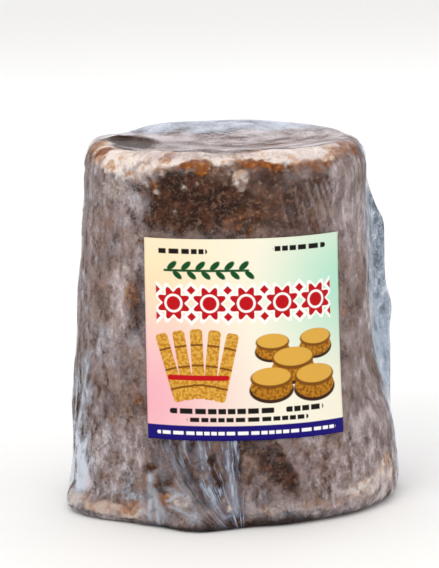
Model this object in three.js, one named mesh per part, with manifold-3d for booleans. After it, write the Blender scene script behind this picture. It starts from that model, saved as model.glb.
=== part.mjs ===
// A kilogram lump of jaggery in its clear film bag, with a square paper label on its front.
// The lump was cast in a bucket and turned out with its wide end down. The bag is drawn down over it and
// bunched under the front edge of the foot, and its spare film stands off the right side as a fin.
// Millimetres, +Z up. The label faces -Y, and bearings run from +X towards +Y, in degrees.
import * as THREE from "three";
import { ImprovedNoise } from "three/addons/math/ImprovedNoise.js";
import { mergeVertices } from "three/addons/utils/BufferGeometryUtils.js";
import Module from "manifold-3d";

const { clamp, degToRad, radToDeg, euclideanModulo, lerp, smoothstep } = THREE.MathUtils;
const wasm = await Module();
wasm.setup();
const noise = new ImprovedNoise();

const RIGHT = 0;
const BACK = 90;
const FRONT = 270;

// The lump as cast: its height at the axis, and its half-width at each end.
const HEIGHT = 109.2;
const TOP_RADIUS = 43.7;
const FOOT_RADIUS = 51.5;
const TAPER_POWER = 1.15;
const SQUARENESS = 0.012; // how far the four sides are flattened, as a share of the radius

// The rim of the top is a little higher in front and behind, and the top dips inside it.
const RIM_RISE = { front: 1.3, back: 1.5, spread: 45 };
const RIM_ROUND = { plain: 6, front: 8.5 };
const TOP_DIP = 1.4;
const TOP_LUMPS = 0.6; // how lumpy the top is, as a share of the wall

// The foot's edge is nearly sharp, and rounded to the right of the label. At its front left corner a flat
// ledge stands out.
const FOOT_ROUND = { sharp: 1.8, soft: 4.8, bearing: 312, spread: 38 };
const LEDGE = { bearing: 208.5, spread: 16, out: 3.7, full: 3.5, gone: 7.5 };

// On the right the wall drops straight and flares only near the foot: shares of the way down.
const FLARE = { bearing: RIGHT, spread: 36, from: 0.54, to: 0.87 };

// Where the wall bulges or is hollow: bearing and height of the middle, spread each way, and depth.
const DENTS = [
  { bearing: 246, height: 93, across: 24, up: 7, out: -1.3 },
  { bearing: 292, height: 92, across: 16, up: 6, out: -0.8 },
  { bearing: 222, height: 101, across: 12, up: 5, out: 0.8 },
  { bearing: 318, height: 100, across: 14, up: 6, out: 0.7 },
  { bearing: 272.5, height: 101.5, across: 2.8, up: 2.3, out: 1.7 },
  { bearing: 182, height: 94, across: 32, up: 20, out: -1.2 },
  { bearing: 130, height: 40, across: 22, up: 14, out: -1.1 },
  { bearing: 70, height: 72, across: 20, up: 18, out: 0.9 },
  { bearing: 12, height: 17, across: 26, up: 6, out: -0.7 },
];

// The slow unevenness of a poured and turned-out block, as noise at two sizes.
const UNEVEN = [
  { size: 27, depth: 1.3 },
  { size: 10, depth: 0.5 },
];

// The bag is bunched into a knot at the foot, and its pleats fan out from there.
const KNOT = { bearing: 259, height: 0, across: 10.5, up: 8, out: 6.5 };
const PLEATS = { bearing: 265, height: 3, step: 30, depth: 0.9, start: 14, end: 46, halfFan: 105 };

// Spare film stands off the right side: how far its edge stands out from the axis, from the top down.
const FIN = { thickness: 1.5, rootRadius: 36 };
const FIN_EDGE = [
  [42.5, 101],
  [43.4, 94.5],
  [45.7, 87.5],
  [47.9, 82.5],
  [47.8, 72],
  [48, 64.5],
  [49.8, 57],
  [49.1, 49.5],
  [49.1, 38.5],
  [48.9, 30],
  [49, 26],
  [48, 20],
];
const FIN_CURVE_STEPS = 40;

// The paper label, wrapped round the front.
const LABEL = { width: 60, height: 59, bearing: 276.1, middle: 55.8, tilt: -0.8, thickness: 0.25 };
const LABEL_GAP = 0.3; // film and glue between the bag's face and the paper
const LABEL_MARGIN = 5; // the wall is smooth under the label and grows uneven over this distance beyond it
const LABEL_COLUMNS = 26;
const LABEL_ROWS = 8;

// The faceted mesh. Columns are closest together at the front, and rows at the two ends of the wall.
const COLUMNS = 96;
const FRONT_DENSITY = 0.6;
const FOOT_RINGS = [0.45, 0.8];
const FOOT_ARC_STEPS = 4;
const SIDE_ROWS = 38;
const END_DENSITY = 0.5;
const RIM_ARC_STEPS = 5;
const TOP_RINGS = [0.93, 0.82, 0.66, 0.45, 0.22];

// 1 at the centre of a bump and 0 well away from it.
function bump(offset, spread) {
  return Math.exp(-((offset / spread) ** 2));
}

// The signed turn between two bearings, from -180 to 180.
function turn(bearing, from) {
  return euclideanModulo(bearing - from + 180, 360) - 180;
}

function near(bearing, centre, spread) {
  return bump(turn(bearing, centre), spread);
}

// How much a place on the wall, by bearing and height, lies clear of the label: 0 under it, 1 outside.
function clearOfLabel(bearing, height) {
  const across = Math.abs(degToRad(turn(bearing, LABEL.bearing))) * TOP_RADIUS - LABEL.width / 2;
  const up = Math.abs(height - LABEL.middle) - LABEL.height / 2;
  return smoothstep(Math.max(across, up), 0, LABEL_MARGIN);
}

function unevenness(radius, bearing, height) {
  const [x, y, z] = onRing([radius, height], bearing);
  let sum = 0;
  for (const { size, depth } of UNEVEN) {
    sum += depth * noise.noise(x / size + size, y / size, z / size);
  }
  return sum;
}

// Ridges that run out from the knot, by the direction in which a place on the wall lies from it.
function pleats(bearing, height) {
  const across = degToRad(turn(bearing, PLEATS.bearing)) * FOOT_RADIUS;
  const up = height - PLEATS.height;
  const direction = radToDeg(Math.atan2(across, up));
  const distance = Math.hypot(across, up);
  const begun = smoothstep(distance, PLEATS.start / 2, PLEATS.start);
  const gone = smoothstep(distance, PLEATS.start, PLEATS.end);
  const inFan = 1 - smoothstep(Math.abs(direction), PLEATS.halfFan - PLEATS.step, PLEATS.halfFan);
  const ridges = Math.cos((direction / PLEATS.step) * 2 * Math.PI);
  return PLEATS.depth * begun * (1 - gone) * inFan * ridges;
}

// How far the wall stands from the axis, without the roundings at its two ends.
function wallRadius(bearing, height) {
  const down = clamp(1 - height / HEIGHT, 0, 1);
  const flared = smoothstep(down, FLARE.from, FLARE.to);
  const spread = lerp(down ** TAPER_POWER, flared, near(bearing, FLARE.bearing, FLARE.spread));
  const cone = lerp(TOP_RADIUS, FOOT_RADIUS, spread);
  const plain = cone * (1 - SQUARENESS * Math.cos(4 * degToRad(bearing)));
  let relief = unevenness(FOOT_RADIUS, bearing, height) + pleats(bearing, height);
  relief += KNOT.out * near(bearing, KNOT.bearing, KNOT.across) * bump(height - KNOT.height, KNOT.up);
  const onLedge = near(bearing, LEDGE.bearing, LEDGE.spread);
  relief += LEDGE.out * onLedge * (1 - smoothstep(height, LEDGE.full, LEDGE.gone));
  for (const dent of DENTS) {
    relief += dent.out * near(bearing, dent.bearing, dent.across) * bump(height - dent.height, dent.up);
  }
  return plain + relief * clearOfLabel(bearing, height);
}

function footRound(bearing) {
  return lerp(FOOT_ROUND.sharp, FOOT_ROUND.soft, near(bearing, FOOT_ROUND.bearing, FOOT_ROUND.spread));
}

function rimRound(bearing) {
  return lerp(RIM_ROUND.plain, RIM_ROUND.front, near(bearing, FRONT, RIM_RISE.spread));
}

// How high the top stands, by bearing and by share of the way from its middle to its rim.
function topHeight(bearing, share) {
  const front = RIM_RISE.front * near(bearing, FRONT, RIM_RISE.spread);
  const back = RIM_RISE.back * near(bearing, BACK, RIM_RISE.spread);
  const lumps = TOP_LUMPS * unevenness(TOP_RADIUS * share, bearing, 2 * HEIGHT);
  return HEIGHT + (front + back) * share - TOP_DIP * (1 - share ** 4) + lumps;
}

function rimHeight(bearing) {
  return topHeight(bearing, 1);
}

// One ring of the bag is a function from a bearing to [radius, height].
function footRing(share) {
  return (bearing) => [(wallRadius(bearing, 0) - footRound(bearing)) * share, 0];
}

function footArcRing(angle) {
  return (bearing) => {
    const round = footRound(bearing);
    const height = round * (1 - Math.cos(angle));
    return [wallRadius(bearing, height) - round * (1 - Math.sin(angle)), height];
  };
}

function sideRing(share) {
  return (bearing) => {
    const height = lerp(footRound(bearing), rimHeight(bearing) - rimRound(bearing), share);
    return [wallRadius(bearing, height), height];
  };
}

function rimArcRing(angle) {
  return (bearing) => {
    const round = rimRound(bearing);
    const height = rimHeight(bearing) - round * (1 - Math.sin(angle));
    return [wallRadius(bearing, height) - round * (1 - Math.cos(angle)), height];
  };
}

function topRing(share) {
  return (bearing) => {
    const edge = wallRadius(bearing, rimHeight(bearing)) - rimRound(bearing);
    return [edge * share, topHeight(bearing, share)];
  };
}

function ringsOfTheBag() {
  const rings = FOOT_RINGS.map(footRing);
  for (let i = 0; i < FOOT_ARC_STEPS; i++) {
    rings.push(footArcRing((i / FOOT_ARC_STEPS) * (Math.PI / 2)));
  }
  for (let i = 0; i < SIDE_ROWS; i++) {
    rings.push(sideRing(bunched(i / SIDE_ROWS, END_DENSITY)));
  }
  for (let i = 0; i <= RIM_ARC_STEPS; i++) {
    rings.push(rimArcRing((i / RIM_ARC_STEPS) * (Math.PI / 2)));
  }
  return rings.concat(TOP_RINGS.map(topRing));
}

// Even steps from 0 to 1, moved so that they lie closer together at both ends.
function bunched(share, density) {
  return share - (density / (2 * Math.PI)) * Math.sin(2 * Math.PI * share);
}

function columnBearing(column) {
  return FRONT + 360 * bunched(column / COLUMNS, FRONT_DENSITY);
}

function onRing([radius, height], bearing) {
  const angle = degToRad(bearing);
  return [radius * Math.cos(angle), radius * Math.sin(angle), height];
}

// A closed skin: rings from the middle of the foot, out, up the wall and in to the middle of the top.
function skinOf(rings, footMiddle, topMiddle) {
  const vertices = [[0, 0, footMiddle]];
  for (const ring of rings) {
    for (let column = 0; column < COLUMNS; column++) {
      const bearing = columnBearing(column);
      vertices.push(onRing(ring(bearing), bearing));
    }
  }
  vertices.push([0, 0, topMiddle]);
  const at = (row, column) => 1 + row * COLUMNS + (column % COLUMNS);
  const faces = [];
  for (let column = 0; column < COLUMNS; column++) {
    faces.push(0, at(0, column + 1), at(0, column));
    for (let row = 0; row < rings.length - 1; row++) {
      const [a, b] = [at(row, column), at(row, column + 1)];
      const [c, d] = [at(row + 1, column), at(row + 1, column + 1)];
      faces.push(a, b, d, a, d, c);
    }
    faces.push(vertices.length - 1, at(rings.length - 1, column), at(rings.length - 1, column + 1));
  }
  const geometry = new THREE.BufferGeometry();
  geometry.setAttribute("position", new THREE.Float32BufferAttribute(vertices.flat(), 3));
  geometry.setIndex(faces);
  return geometry;
}

function solidFrom(geometry) {
  const bare = geometry.index ? geometry.toNonIndexed() : geometry.clone();
  bare.deleteAttribute("normal");
  bare.deleteAttribute("uv");
  const merged = mergeVertices(bare, 1e-4);
  const mesh = new wasm.Mesh({
    numProp: 3,
    vertProperties: merged.attributes.position.array,
    triVerts: new Uint32Array(merged.index.array),
  });
  return new wasm.Manifold(mesh);
}

function geometryFrom(solid) {
  const mesh = solid.getMesh();
  const geometry = new THREE.BufferGeometry();
  geometry.setAttribute("position", new THREE.BufferAttribute(new Float32Array(mesh.vertProperties), 3));
  geometry.setIndex(new THREE.BufferAttribute(new Uint32Array(mesh.triVerts), 1));
  geometry.computeVertexNormals();
  return geometry;
}

// The lump in its bag, as one solid out to the film.
function bagBody() {
  return solidFrom(skinOf(ringsOfTheBag(), 0, topHeight(FRONT, 0)));
}

// The fin is a flat plate in the plane of +X and +Z, rooted inside the wall.
function finPlate() {
  const edge = new THREE.SplineCurve(FIN_EDGE.map(([out, height]) => new THREE.Vector2(out, height)));
  const outline = edge.getSpacedPoints(FIN_CURVE_STEPS);
  const lowest = FIN_EDGE.at(-1)[1];
  const highest = FIN_EDGE[0][1];
  outline.push(new THREE.Vector2(FIN.rootRadius, lowest), new THREE.Vector2(FIN.rootRadius, highest));
  const plate = new THREE.ExtrudeGeometry(new THREE.Shape(outline), {
    depth: FIN.thickness,
    bevelEnabled: false,
  });
  plate.translate(0, 0, -FIN.thickness / 2);
  plate.rotateX(Math.PI / 2);
  return solidFrom(plate);
}

function makeBaggedLump() {
  const geometry = geometryFrom(bagBody().add(finPlate()));
  const filmOverBrown = new THREE.MeshStandardMaterial({ color: 0x7d6256, roughness: 0.35, metalness: 0 });
  const mesh = new THREE.Mesh(geometry, filmOverBrown);
  mesh.name = "bagged_lump";
  return mesh;
}

// A place on the label's inner or outer face, by its share of the way across and up.
function labelPoint(across, up, lift) {
  const tilt = degToRad(LABEL.tilt);
  const flatX = (across - 0.5) * LABEL.width;
  const flatY = (up - 0.5) * LABEL.height;
  const height = LABEL.middle + flatX * Math.sin(tilt) + flatY * Math.cos(tilt);
  const run = flatX * Math.cos(tilt) - flatY * Math.sin(tilt);
  const bearing = LABEL.bearing + radToDeg(run / wallRadius(LABEL.bearing, height));
  return onRing([wallRadius(bearing, height) + lift, height], bearing);
}

function makeLabel() {
  const vertices = [];
  for (const lift of [LABEL_GAP, LABEL_GAP + LABEL.thickness]) {
    for (let row = 0; row <= LABEL_ROWS; row++) {
      for (let column = 0; column <= LABEL_COLUMNS; column++) {
        vertices.push(labelPoint(column / LABEL_COLUMNS, row / LABEL_ROWS, lift));
      }
    }
  }
  const perFace = (LABEL_ROWS + 1) * (LABEL_COLUMNS + 1);
  const at = (layer, row, column) => layer * perFace + row * (LABEL_COLUMNS + 1) + column;
  const faces = [];
  const quad = (a, b, c, d) => faces.push(a, b, c, a, c, d);
  for (let row = 0; row < LABEL_ROWS; row++) {
    for (let column = 0; column < LABEL_COLUMNS; column++) {
      for (const layer of [0, 1]) {
        const [a, b] = [at(layer, row, column), at(layer, row, column + 1)];
        const [c, d] = [at(layer, row + 1, column + 1), at(layer, row + 1, column)];
        if (layer === 1) quad(a, b, c, d);
        else quad(d, c, b, a);
      }
    }
  }
  for (let column = 0; column < LABEL_COLUMNS; column++) {
    quad(at(0, 0, column), at(0, 0, column + 1), at(1, 0, column + 1), at(1, 0, column));
    const top = LABEL_ROWS;
    quad(at(1, top, column), at(1, top, column + 1), at(0, top, column + 1), at(0, top, column));
  }
  for (let row = 0; row < LABEL_ROWS; row++) {
    const side = LABEL_COLUMNS;
    quad(at(1, row, 0), at(1, row + 1, 0), at(0, row + 1, 0), at(0, row, 0));
    quad(at(0, row, side), at(0, row + 1, side), at(1, row + 1, side), at(1, row, side));
  }
  const geometry = new THREE.BufferGeometry();
  geometry.setAttribute("position", new THREE.Float32BufferAttribute(vertices.flat(), 3));
  geometry.setIndex(faces);
  geometry.computeVertexNormals();
  const paper = new THREE.MeshStandardMaterial({ color: 0xf4ecd8, roughness: 0.55, metalness: 0 });
  const mesh = new THREE.Mesh(geometry, paper);
  mesh.name = "paper_label";
  return mesh;
}

// The origin is the middle of the foot, as measured by the box round the whole object.
const part = new THREE.Group();
part.add(makeBaggedLump(), makeLabel());
const middle = new THREE.Box3().setFromObject(part).getCenter(new THREE.Vector3());
part.position.set(-middle.x, -middle.y, 0);

export default part;
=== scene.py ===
import math

import bpy
import numpy as np
from mathutils import Matrix, Vector
from mathutils.bvhtree import BVHTree


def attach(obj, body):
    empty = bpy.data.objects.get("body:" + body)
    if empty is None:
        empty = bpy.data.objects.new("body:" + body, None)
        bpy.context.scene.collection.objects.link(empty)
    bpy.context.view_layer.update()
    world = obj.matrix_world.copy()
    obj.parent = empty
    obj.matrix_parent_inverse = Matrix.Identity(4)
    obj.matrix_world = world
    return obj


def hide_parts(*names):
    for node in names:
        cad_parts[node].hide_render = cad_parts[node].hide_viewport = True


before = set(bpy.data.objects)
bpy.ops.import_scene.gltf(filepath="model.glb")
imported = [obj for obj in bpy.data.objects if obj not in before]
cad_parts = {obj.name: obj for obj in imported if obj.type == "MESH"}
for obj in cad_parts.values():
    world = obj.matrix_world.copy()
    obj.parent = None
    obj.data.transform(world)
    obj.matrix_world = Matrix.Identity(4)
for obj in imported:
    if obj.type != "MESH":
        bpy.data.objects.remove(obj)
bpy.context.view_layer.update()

# ----------------------------------------
# The cast lump. Cane juice boiled down to a brown paste, poured into a bucket and turned out wide end down
# once it has set. Its skin is crumbly and crystalline, with a pale dry crust round the rim of the top and
# darker, damper sugar on the wall below it.
# ----------------------------------------

# Lengths are millimetres until a mesh is made. Bearings run from +X towards +Y, in degrees. The pairs in
# calls of ease and steepened are the values between which one look gives way to the next.
MM = 0.001
AXIS_Y = 2.5  # where the lump's own axis crosses the foot
HEIGHT = 109.2
FRONT = 270
MEAN_RADIUS = 48

# The skin is surveyed by rays: down through the foot, round the foot's edge, out through the wall, round the
# rim and up through the top. Each edge is swept from the middle of its rounding, a radius and a height.
FOOT_MIDDLE = (40.0, 6.5)
RIM_MIDDLE = (34.0, HEIGHT - 10.0)
FOOT_ROWS = 8
FOOT_EDGE_ROWS = 34
WALL_ROWS = 142
RIM_ROWS = 28
TOP_ROWS = 38
COLUMNS = 376
FRONT_CROWDING = 0.42  # how much closer together the columns lie at the front than on average
FIN_HALF = 6.0  # bearings this close to the right side belong to the fin of spare film
TOP_RINGS = (0.0, 20.0)  # the film's creases on the top run in rings round this place
SKIN_BLUR = 2.0  # in cells, enough to lose the solid's facets
TOP_SLOPE = (0.55, 0.9)  # how far up the skin faces, from the wall to the top
FOOT_SLOPE = (0.75, 0.98)  # how far down it faces, from the wall to the foot
TOP_EDGE = (33, 38)  # the radii between which the top gives way to the rim
LEAST_RADIUS = 30  # nearer the middle than this, bearings are as many millimetres apart as they are here
PATCH_EDGE = (0.6, 1.25)  # the shares of its half-sizes between which a patch fades out


def survey_rays():
    """Each row's ray: the radius and height that it starts from, and how far out and up it points."""
    foot_radius, foot_height = FOOT_MIDDLE
    rim_radius, rim_height = RIM_MIDDLE
    rays = []
    for i in range(FOOT_ROWS):
        rays.append((foot_radius * (i + 0.5) / FOOT_ROWS, foot_height, 0, -1))
    for i in range(FOOT_EDGE_ROWS):
        angle = math.pi / 2 * i / FOOT_EDGE_ROWS
        rays.append((foot_radius, foot_height, math.sin(angle), -math.cos(angle)))
    for i in range(WALL_ROWS):
        share = i / WALL_ROWS
        radius = foot_radius + (rim_radius - foot_radius) * share
        rays.append((radius, foot_height + (rim_height - foot_height) * share, 1, 0))
    for i in range(RIM_ROWS):
        angle = math.pi / 2 * i / RIM_ROWS
        rays.append((rim_radius, rim_height, math.cos(angle), math.sin(angle)))
    for i in range(TOP_ROWS):
        rays.append((rim_radius * (1 - (i + 0.5) / TOP_ROWS), rim_height, 0, 1))
    return np.array(rays, float)


def crowded_bearings(count, first=0.0, last=360.0):
    """Bearings from first to last that lie closer together at the front."""
    fine = np.linspace(first, last, 4001)
    density = 1 + FRONT_CROWDING * np.cos(np.radians(fine - FRONT))
    run = np.concatenate([[0], np.cumsum((density[1:] + density[:-1]) / 2)])
    return np.interp((np.arange(count) + 0.5) / count * run[-1], run, fine)


def ray_tree(solid):
    mesh = solid.data
    return BVHTree.FromPolygons([v.co for v in mesh.vertices], [p.vertices for p in mesh.polygons])


def survey(solid, rays, bearings):
    """How far each ray runs inside the solid, by row and column. The skin runs straight on past the fin."""
    tree = ray_tree(solid)
    reach = np.zeros((len(rays), len(bearings)))
    for j, bearing in enumerate(np.radians(bearings)):
        cos, sin = math.cos(bearing), math.sin(bearing)
        for i, (radius, height, out, up) in enumerate(rays):
            start = Vector((radius * cos, radius * sin + AXIS_Y, height)) * MM
            reach[i, j] = tree.ray_cast(start, Vector((out * cos, out * sin, up)))[3] / MM
    turned = (bearings + 180) % 360 - 180
    fin = np.abs(turned) < FIN_HALF
    order = np.argsort(turned[~fin])
    for row in reach:
        row[fin] = np.interp(turned[fin], turned[~fin][order], row[~fin][order])
    return reach


def smoothed(field, cells):
    """A field of rows and columns, blurred over some cells each way. The columns wrap round."""
    reach = int(3 * cells) + 1
    offsets = np.arange(-reach, reach + 1)
    weights = np.exp(-0.5 * (offsets / cells) ** 2)
    weights /= weights.sum()
    padded = np.pad(field, ((reach, reach), (0, 0)), mode="edge")
    field = sum(w * padded[k : k + len(field)] for k, w in enumerate(weights))
    return sum(w * np.roll(field, o, axis=1) for o, w in zip(offsets, weights))


def outward(points):
    """Unit normals of a grid of points."""
    along = np.roll(points, -1, axis=1) - np.roll(points, 1, axis=1)
    up = np.empty_like(points)
    up[1:-1] = points[2:] - points[:-2]
    up[0] = points[1] - points[0]
    up[-1] = points[-1] - points[-2]
    normal = np.cross(along, up)
    return normal / np.maximum(np.linalg.norm(normal, axis=-1, keepdims=True), 1e-9)


SCATTER = (374761393, 668265263, 2147483647, 974634777, 1274126177)  # large numbers that shuffle the noise


def rumple(points, size, seed):
    """Smooth noise from about -1 to 1, with bumps about size apart. It blends a slope at each corner of the
    cell that a point lies in."""
    cell = points / np.asarray(size) + 37.7 * seed
    base = np.floor(cell)
    part = cell - base
    fade = part**3 * (part * (part * 6 - 15) + 10)
    base = base.astype(np.int64)
    total = np.zeros(points.shape[:-1])
    for corner in np.ndindex(2, 2, 2):
        mixed = (base + corner) @ np.array(SCATTER[:3]) + seed * SCATTER[3]
        mixed = ((mixed ^ (mixed >> 13)) * SCATTER[4]) & 0x7FFFFFFFFFFF
        mixed = mixed ^ (mixed >> 16)
        slopes = np.stack([((mixed >> shift) & 1023) / 511.5 - 1 for shift in (0, 10, 20)], axis=-1)
        weight = np.prod(np.where(corner, fade, 1 - fade), axis=-1)
        total += weight * np.sum(slopes * (part - corner), axis=-1)
    return 1.6 * total


def heaped(points, layers):
    """Layers of noise, each with its size, its height and its seed."""
    return sum(height * rumple(points, size, seed) for size, height, seed in layers)


def ease(value, low, high):
    """0 at low, 1 at high, and smooth between them."""
    share = np.clip((value - low) / (high - low), 0, 1)
    return share * share * (3 - 2 * share)


class Skin:
    """A grid of points on the bag's outside, in rows and columns, with what is known of each place."""

    def __init__(self, rays, bearings, reach):
        turned = np.radians(bearings)[None, :]
        radius = rays[:, 0, None] + rays[:, 2, None] * reach
        height = np.maximum(rays[:, 1, None] + rays[:, 3, None] * reach, 0)
        self.points = np.stack([radius * np.cos(turned), radius * np.sin(turned) + AXIS_Y, height], axis=-1)
        self.normals = outward(self.points)
        self.bearing = np.broadcast_to(bearings[None, :], reach.shape)
        self.height = height
        self.radius = radius
        self.on_top = ease(self.normals[..., 2], *TOP_SLOPE)
        self.on_foot = ease(-self.normals[..., 2], *FOOT_SLOPE)
        off_x, off_y = self.points[..., 0] - TOP_RINGS[0], self.points[..., 1] - TOP_RINGS[1]
        self.top_ring = np.hypot(off_x, off_y)
        self.top_turn = np.degrees(np.arctan2(off_y, off_x)) % 360
        self.stray = [heaped(self.points, [(7, 1, seed), (2.6, 0.5, seed + 2)]) for seed in (91, 92)]

    def across(self, bearing):
        """Millimetres round the wall from a bearing, positive to the right of it as seen from outside."""
        return np.radians((self.bearing - bearing + 180) % 360 - 180) * np.maximum(self.radius, LEAST_RADIUS)

    def near(self, bearing, spread, power=2):
        """1 at a bearing, falling off over some degrees to both sides of it."""
        return np.exp(-((self.across(bearing) / (math.radians(spread) * MEAN_RADIUS)) ** power))

    def patch(self, bearing, height, half_width, half_height, lean=0, ragged=2.0):
        """1 in the middle of a patch and 0 outside it, with a ragged edge. It leans to the right going up."""
        up = self.height - height + ragged * self.stray[1]
        side = self.across(bearing) - lean * up + ragged * self.stray[0]
        return 1 - ease(np.hypot(side / half_width, up / half_height), *PATCH_EDGE)

    def patches(self, rows, ragged=2.0):
        """Each row's number, and the patch that it holds for."""
        for bearing, height, half_width, half_height, number, *lean in rows:
            yield number, self.patch(bearing, height, half_width, half_height, *lean, ragged=ragged)


# Patches of damp sugar, some of them painted shadow, and of amber and pale sugar on the wall: bearing,
# height, half-width, half-height, strength, and the lean of the few that lean.
DAMP_AND_SHADOW = [
    (248, 95, 17, 9, 1.0), (251, 101.5, 11, 4.5, 1.0), (293, 104.2, 5, 0.6, 0.9), (303, 104.5, 4, 0.6, 0.8),
    (331, 105.6, 4, 1.5, 0.8), (268, 93, 15, 9, 0.85), (292, 92, 12, 7, 0.6),
    (285.8, 18, 4.4, 11, 0.85, -0.45), (278.5, 24.5, 7.0, 4.0, 0.95), (281.5, 19.5, 5.0, 6.0, 0.7, -0.3),
    (264, 16, 2.6, 7, 0.95, -0.2), (252, 19, 2.4, 7, 0.9, -0.5), (257, 12, 2.6, 5, 0.9, -0.6),
    (241, 19, 2.6, 4, 0.6), (245.5, 14, 1.8, 5, 0.6), (247, 24, 2.2, 4, 0.7, -0.3),
    # The last patch on this line, low at bearing 267, is painted shadow beside the gathered knot.
    (271, 20, 2.0, 4, 0.85, -0.2), (249, 25, 2.0, 3, 0.8), (255, 25, 1.8, 3, 0.7), (267, 1.5, 6, 1.6, 1.0),
    (300, 20, 6, 8, 0.35, -0.4), (315.6, 48.8, 1.6, 1.3, 0.9), (310.8, 29.8, 1.5, 1.2, 0.8),
    # The first three patches on this line paint the shadow beside the pale patch at bearing 225.
    (235.6, 67, 3.0, 10, 1.0), (233.0, 59, 2.4, 5, 0.8), (233.6, 76, 2.2, 3, 0.7), (194, 33, 5, 12, 0.7),
    (262.6, 19.8, 1.7, 1.7, 1.0), (264.6, 14.9, 1.4, 2.4, 1.0), (247.7, 13.1, 1.6, 1.2, 0.7),
    (241.7, 18.2, 1.6, 1.4, 0.8), (286, 101, 12, 3, 0.5), (310, 98, 7, 7, 0.4), (238, 80, 3, 8, 0.4),
    (205, 48, 4, 4, 0.5), (345, 35, 4, 6, 0.5), (150, 60, 10, 16, 0.4), (60, 35, 12, 9, 0.5, 0.3),
    (95, 84, 14, 8, 0.45), (300, 97, 8, 6, 0.6), (300, 84, 7, 6, 0.4), (222, 9.6, 14, 2.0, 0.5),
    # These two are painted shadow along the foot's bottom edge.
    (285, 2, 26, 3.0, 0.9), (215, 0, 14, 1.6, 0.8),
]
AMBER = [
    (283, 94, 8, 6, 0.24), (276, 90, 6, 5, 0.28), (270, 109.0, 20, 1.3, 0.14), (306, 105.9, 9, 0.9, 0.4),
    (322, 106.8, 9, 1.0, 0.45), (261, 105.2, 3.0, 2.2, 0.8), (335, 108.2, 13, 1.9, 0.7),
    (186, 108.6, 7, 1.8, 0.6), (245, 108.0, 3, 1.4, 0.6), (202, 108.2, 4.5, 1.8, 0.95),
    (205, 106.0, 4.0, 1.8, 0.55), (219, 105.6, 4.0, 1.6, 0.45), (233, 104, 4, 1.4, 0.5),
    (241, 101.5, 3, 2.0, 0.55, 0.3), (231.4, 68.0, 3.8, 5.0, 0.4), (233.0, 76.0, 2.0, 3.0, 0.25),
    (235.5, 38, 1.6, 3, 0.45), (222, 4.2, 16, 2.2, 0.3), (234, 5.2, 7, 2.0, 0.6),
    (246.5, 8.0, 2.6, 3.0, 0.6), (334, 13.5, 4, 3.2, 0.6), (308, 6.4, 16, 1.3, 0.35), (317, 61, 2, 3, 0.5),
    (120, 20, 12, 6, 0.4), (40, 80, 8, 6, 0.4), (170, 100, 10, 3, 0.5),
]
PALE = [
    (225.6, 70, 4.2, 6.0, 0.4), (223.8, 59, 3.8, 6, 0.32, 0.2), (228.5, 76, 3.0, 2.0, 0.5),
    (334, 10.5, 9, 4.5, 0.75), (322, 8, 14, 3.0, 0.7), (303, 108.9, 17, 1.8, 1.35),
    (226, 3.8, 15, 2.6, 0.6), (205, 4, 8, 3, 0.6), (300, 5.5, 26, 1.8, 0.35), (250, 9, 6, 2.0, 0.4, -1),
    (222, 99, 8, 4, 0.35), (203, 106.5, 7, 2.6, 0.45), (110, 66, 8, 5, 0.2), (20, 48, 6, 8, 0.35),
    (160, 30, 8, 8, 0.35),
]
# Grains that stand proud of the wall: bearing, height, radius and how far out.
GRAINS = [
    (274.2, 104.0, 1.7, 1.2), (276.8, 103.6, 1.6, 1.3), (274.6, 101.6, 1.5, 1.0), (277.5, 101.8, 1.3, 1.0),
    (275.9, 99.9, 1.2, 0.9), (240.2, 104.9, 1.5, 0.8), (242.6, 99.0, 1.1, 0.7), (244.9, 104.5, 1.1, 0.7),
    (236.2, 103.0, 1.7, 0.8), (238.6, 101.4, 1.1, 0.6), (253.7, 100.4, 1.0, 0.5), (252.6, 101.4, 0.7, 0.5),
    (259.0, 101.4, 0.9, 0.5), (249.6, 93.4, 0.8, 0.4), (302, 102.0, 0.8, 0.6), (268.7, 6.4, 1.4, 0.9),
    (251.2, 8.1, 1.2, 0.8), (284, 25.2, 0.7, 0.5),
]
# The pale crust hangs down from the rim and reaches in over the top: how far below the rim it ends, where it
# hangs lower, the radius where it ends on the top, and where it reaches further in.
CRUST_HANG = 0.9
CRUST_LOWER = [(229, 15, 5.3), (208, 8, 2.5), (269, 6, 1.3), (294, 9, 1.5), (312, 14, 1.7)]
CRUST_LOWER += [(150, 30, 3.0), (60, 25, 2.0)]
CRUST_INNER_RADIUS = 39.0
CRUST_WIDER = [(230, 20, 3.5), (304, 20, 4.5), (185, 14, 5.0)]
CRUST_FRONT = (268, 75)  # the bearing that it is thickest about, and how far round it fades
CRUST_BEHIND = 0.35
CRUST_SWELL = 0.35  # how far it stands out
NIBBLES = (1.8, 0.6)  # the size and depth of what is nibbled out of its edge
CRUMB_SIZE = 2.4  # crumbs of it are strewn below the edge
CRUMB_SHARE = 0.7
CRUMB_REACH = (4, 8)  # how far below the edge they thin out
# Syrup shows in an amber line just under the crust's edge: bearing, how far round it reaches, and strength.
SYRUP = [(257, 7, 1.0), (285, 9, 1.0), (305, 14, 0.65), (334, 14, 0.5), (240, 8, 0.4)]
SYRUP += [(170, 40, 0.4), (60, 40, 0.4)]
SYRUP_DEPTH = 2.6
# The relief of the sugar: layers of noise with their size, height and seed, and the size and depth of pits.
CRAGS = [(9, 0.36, 1), (4.2, 0.32, 2)]
ROUGHNESS = [(2.2, 0.26, 3), (1.2, 0.16, 4)]
PITS = (3.4, 0.7)
TOP_CALM = 0.55  # how much less craggy the top is than the wall
DAMP_CALM = 0.5  # and damp sugar than dry
DAMP_SINK = 0.3
HIGH_PLACES = 0.22  # what is taken off the crags, so that only their tops reach the film
RELIEF_RANGE = (-2.2, 0.1)
HOLLOW_SHADE_BLUR = 3.5  # in cells: a place gets painted shade when it lies deeper than the skin blurred by this
FILM_GAP = 0.12
WEDGE = (-29, 2, 10, 19, 0.95)  # a dark patch on the top, laid in as damp sugar: x, y, half-width, half-depth and strength


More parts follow.
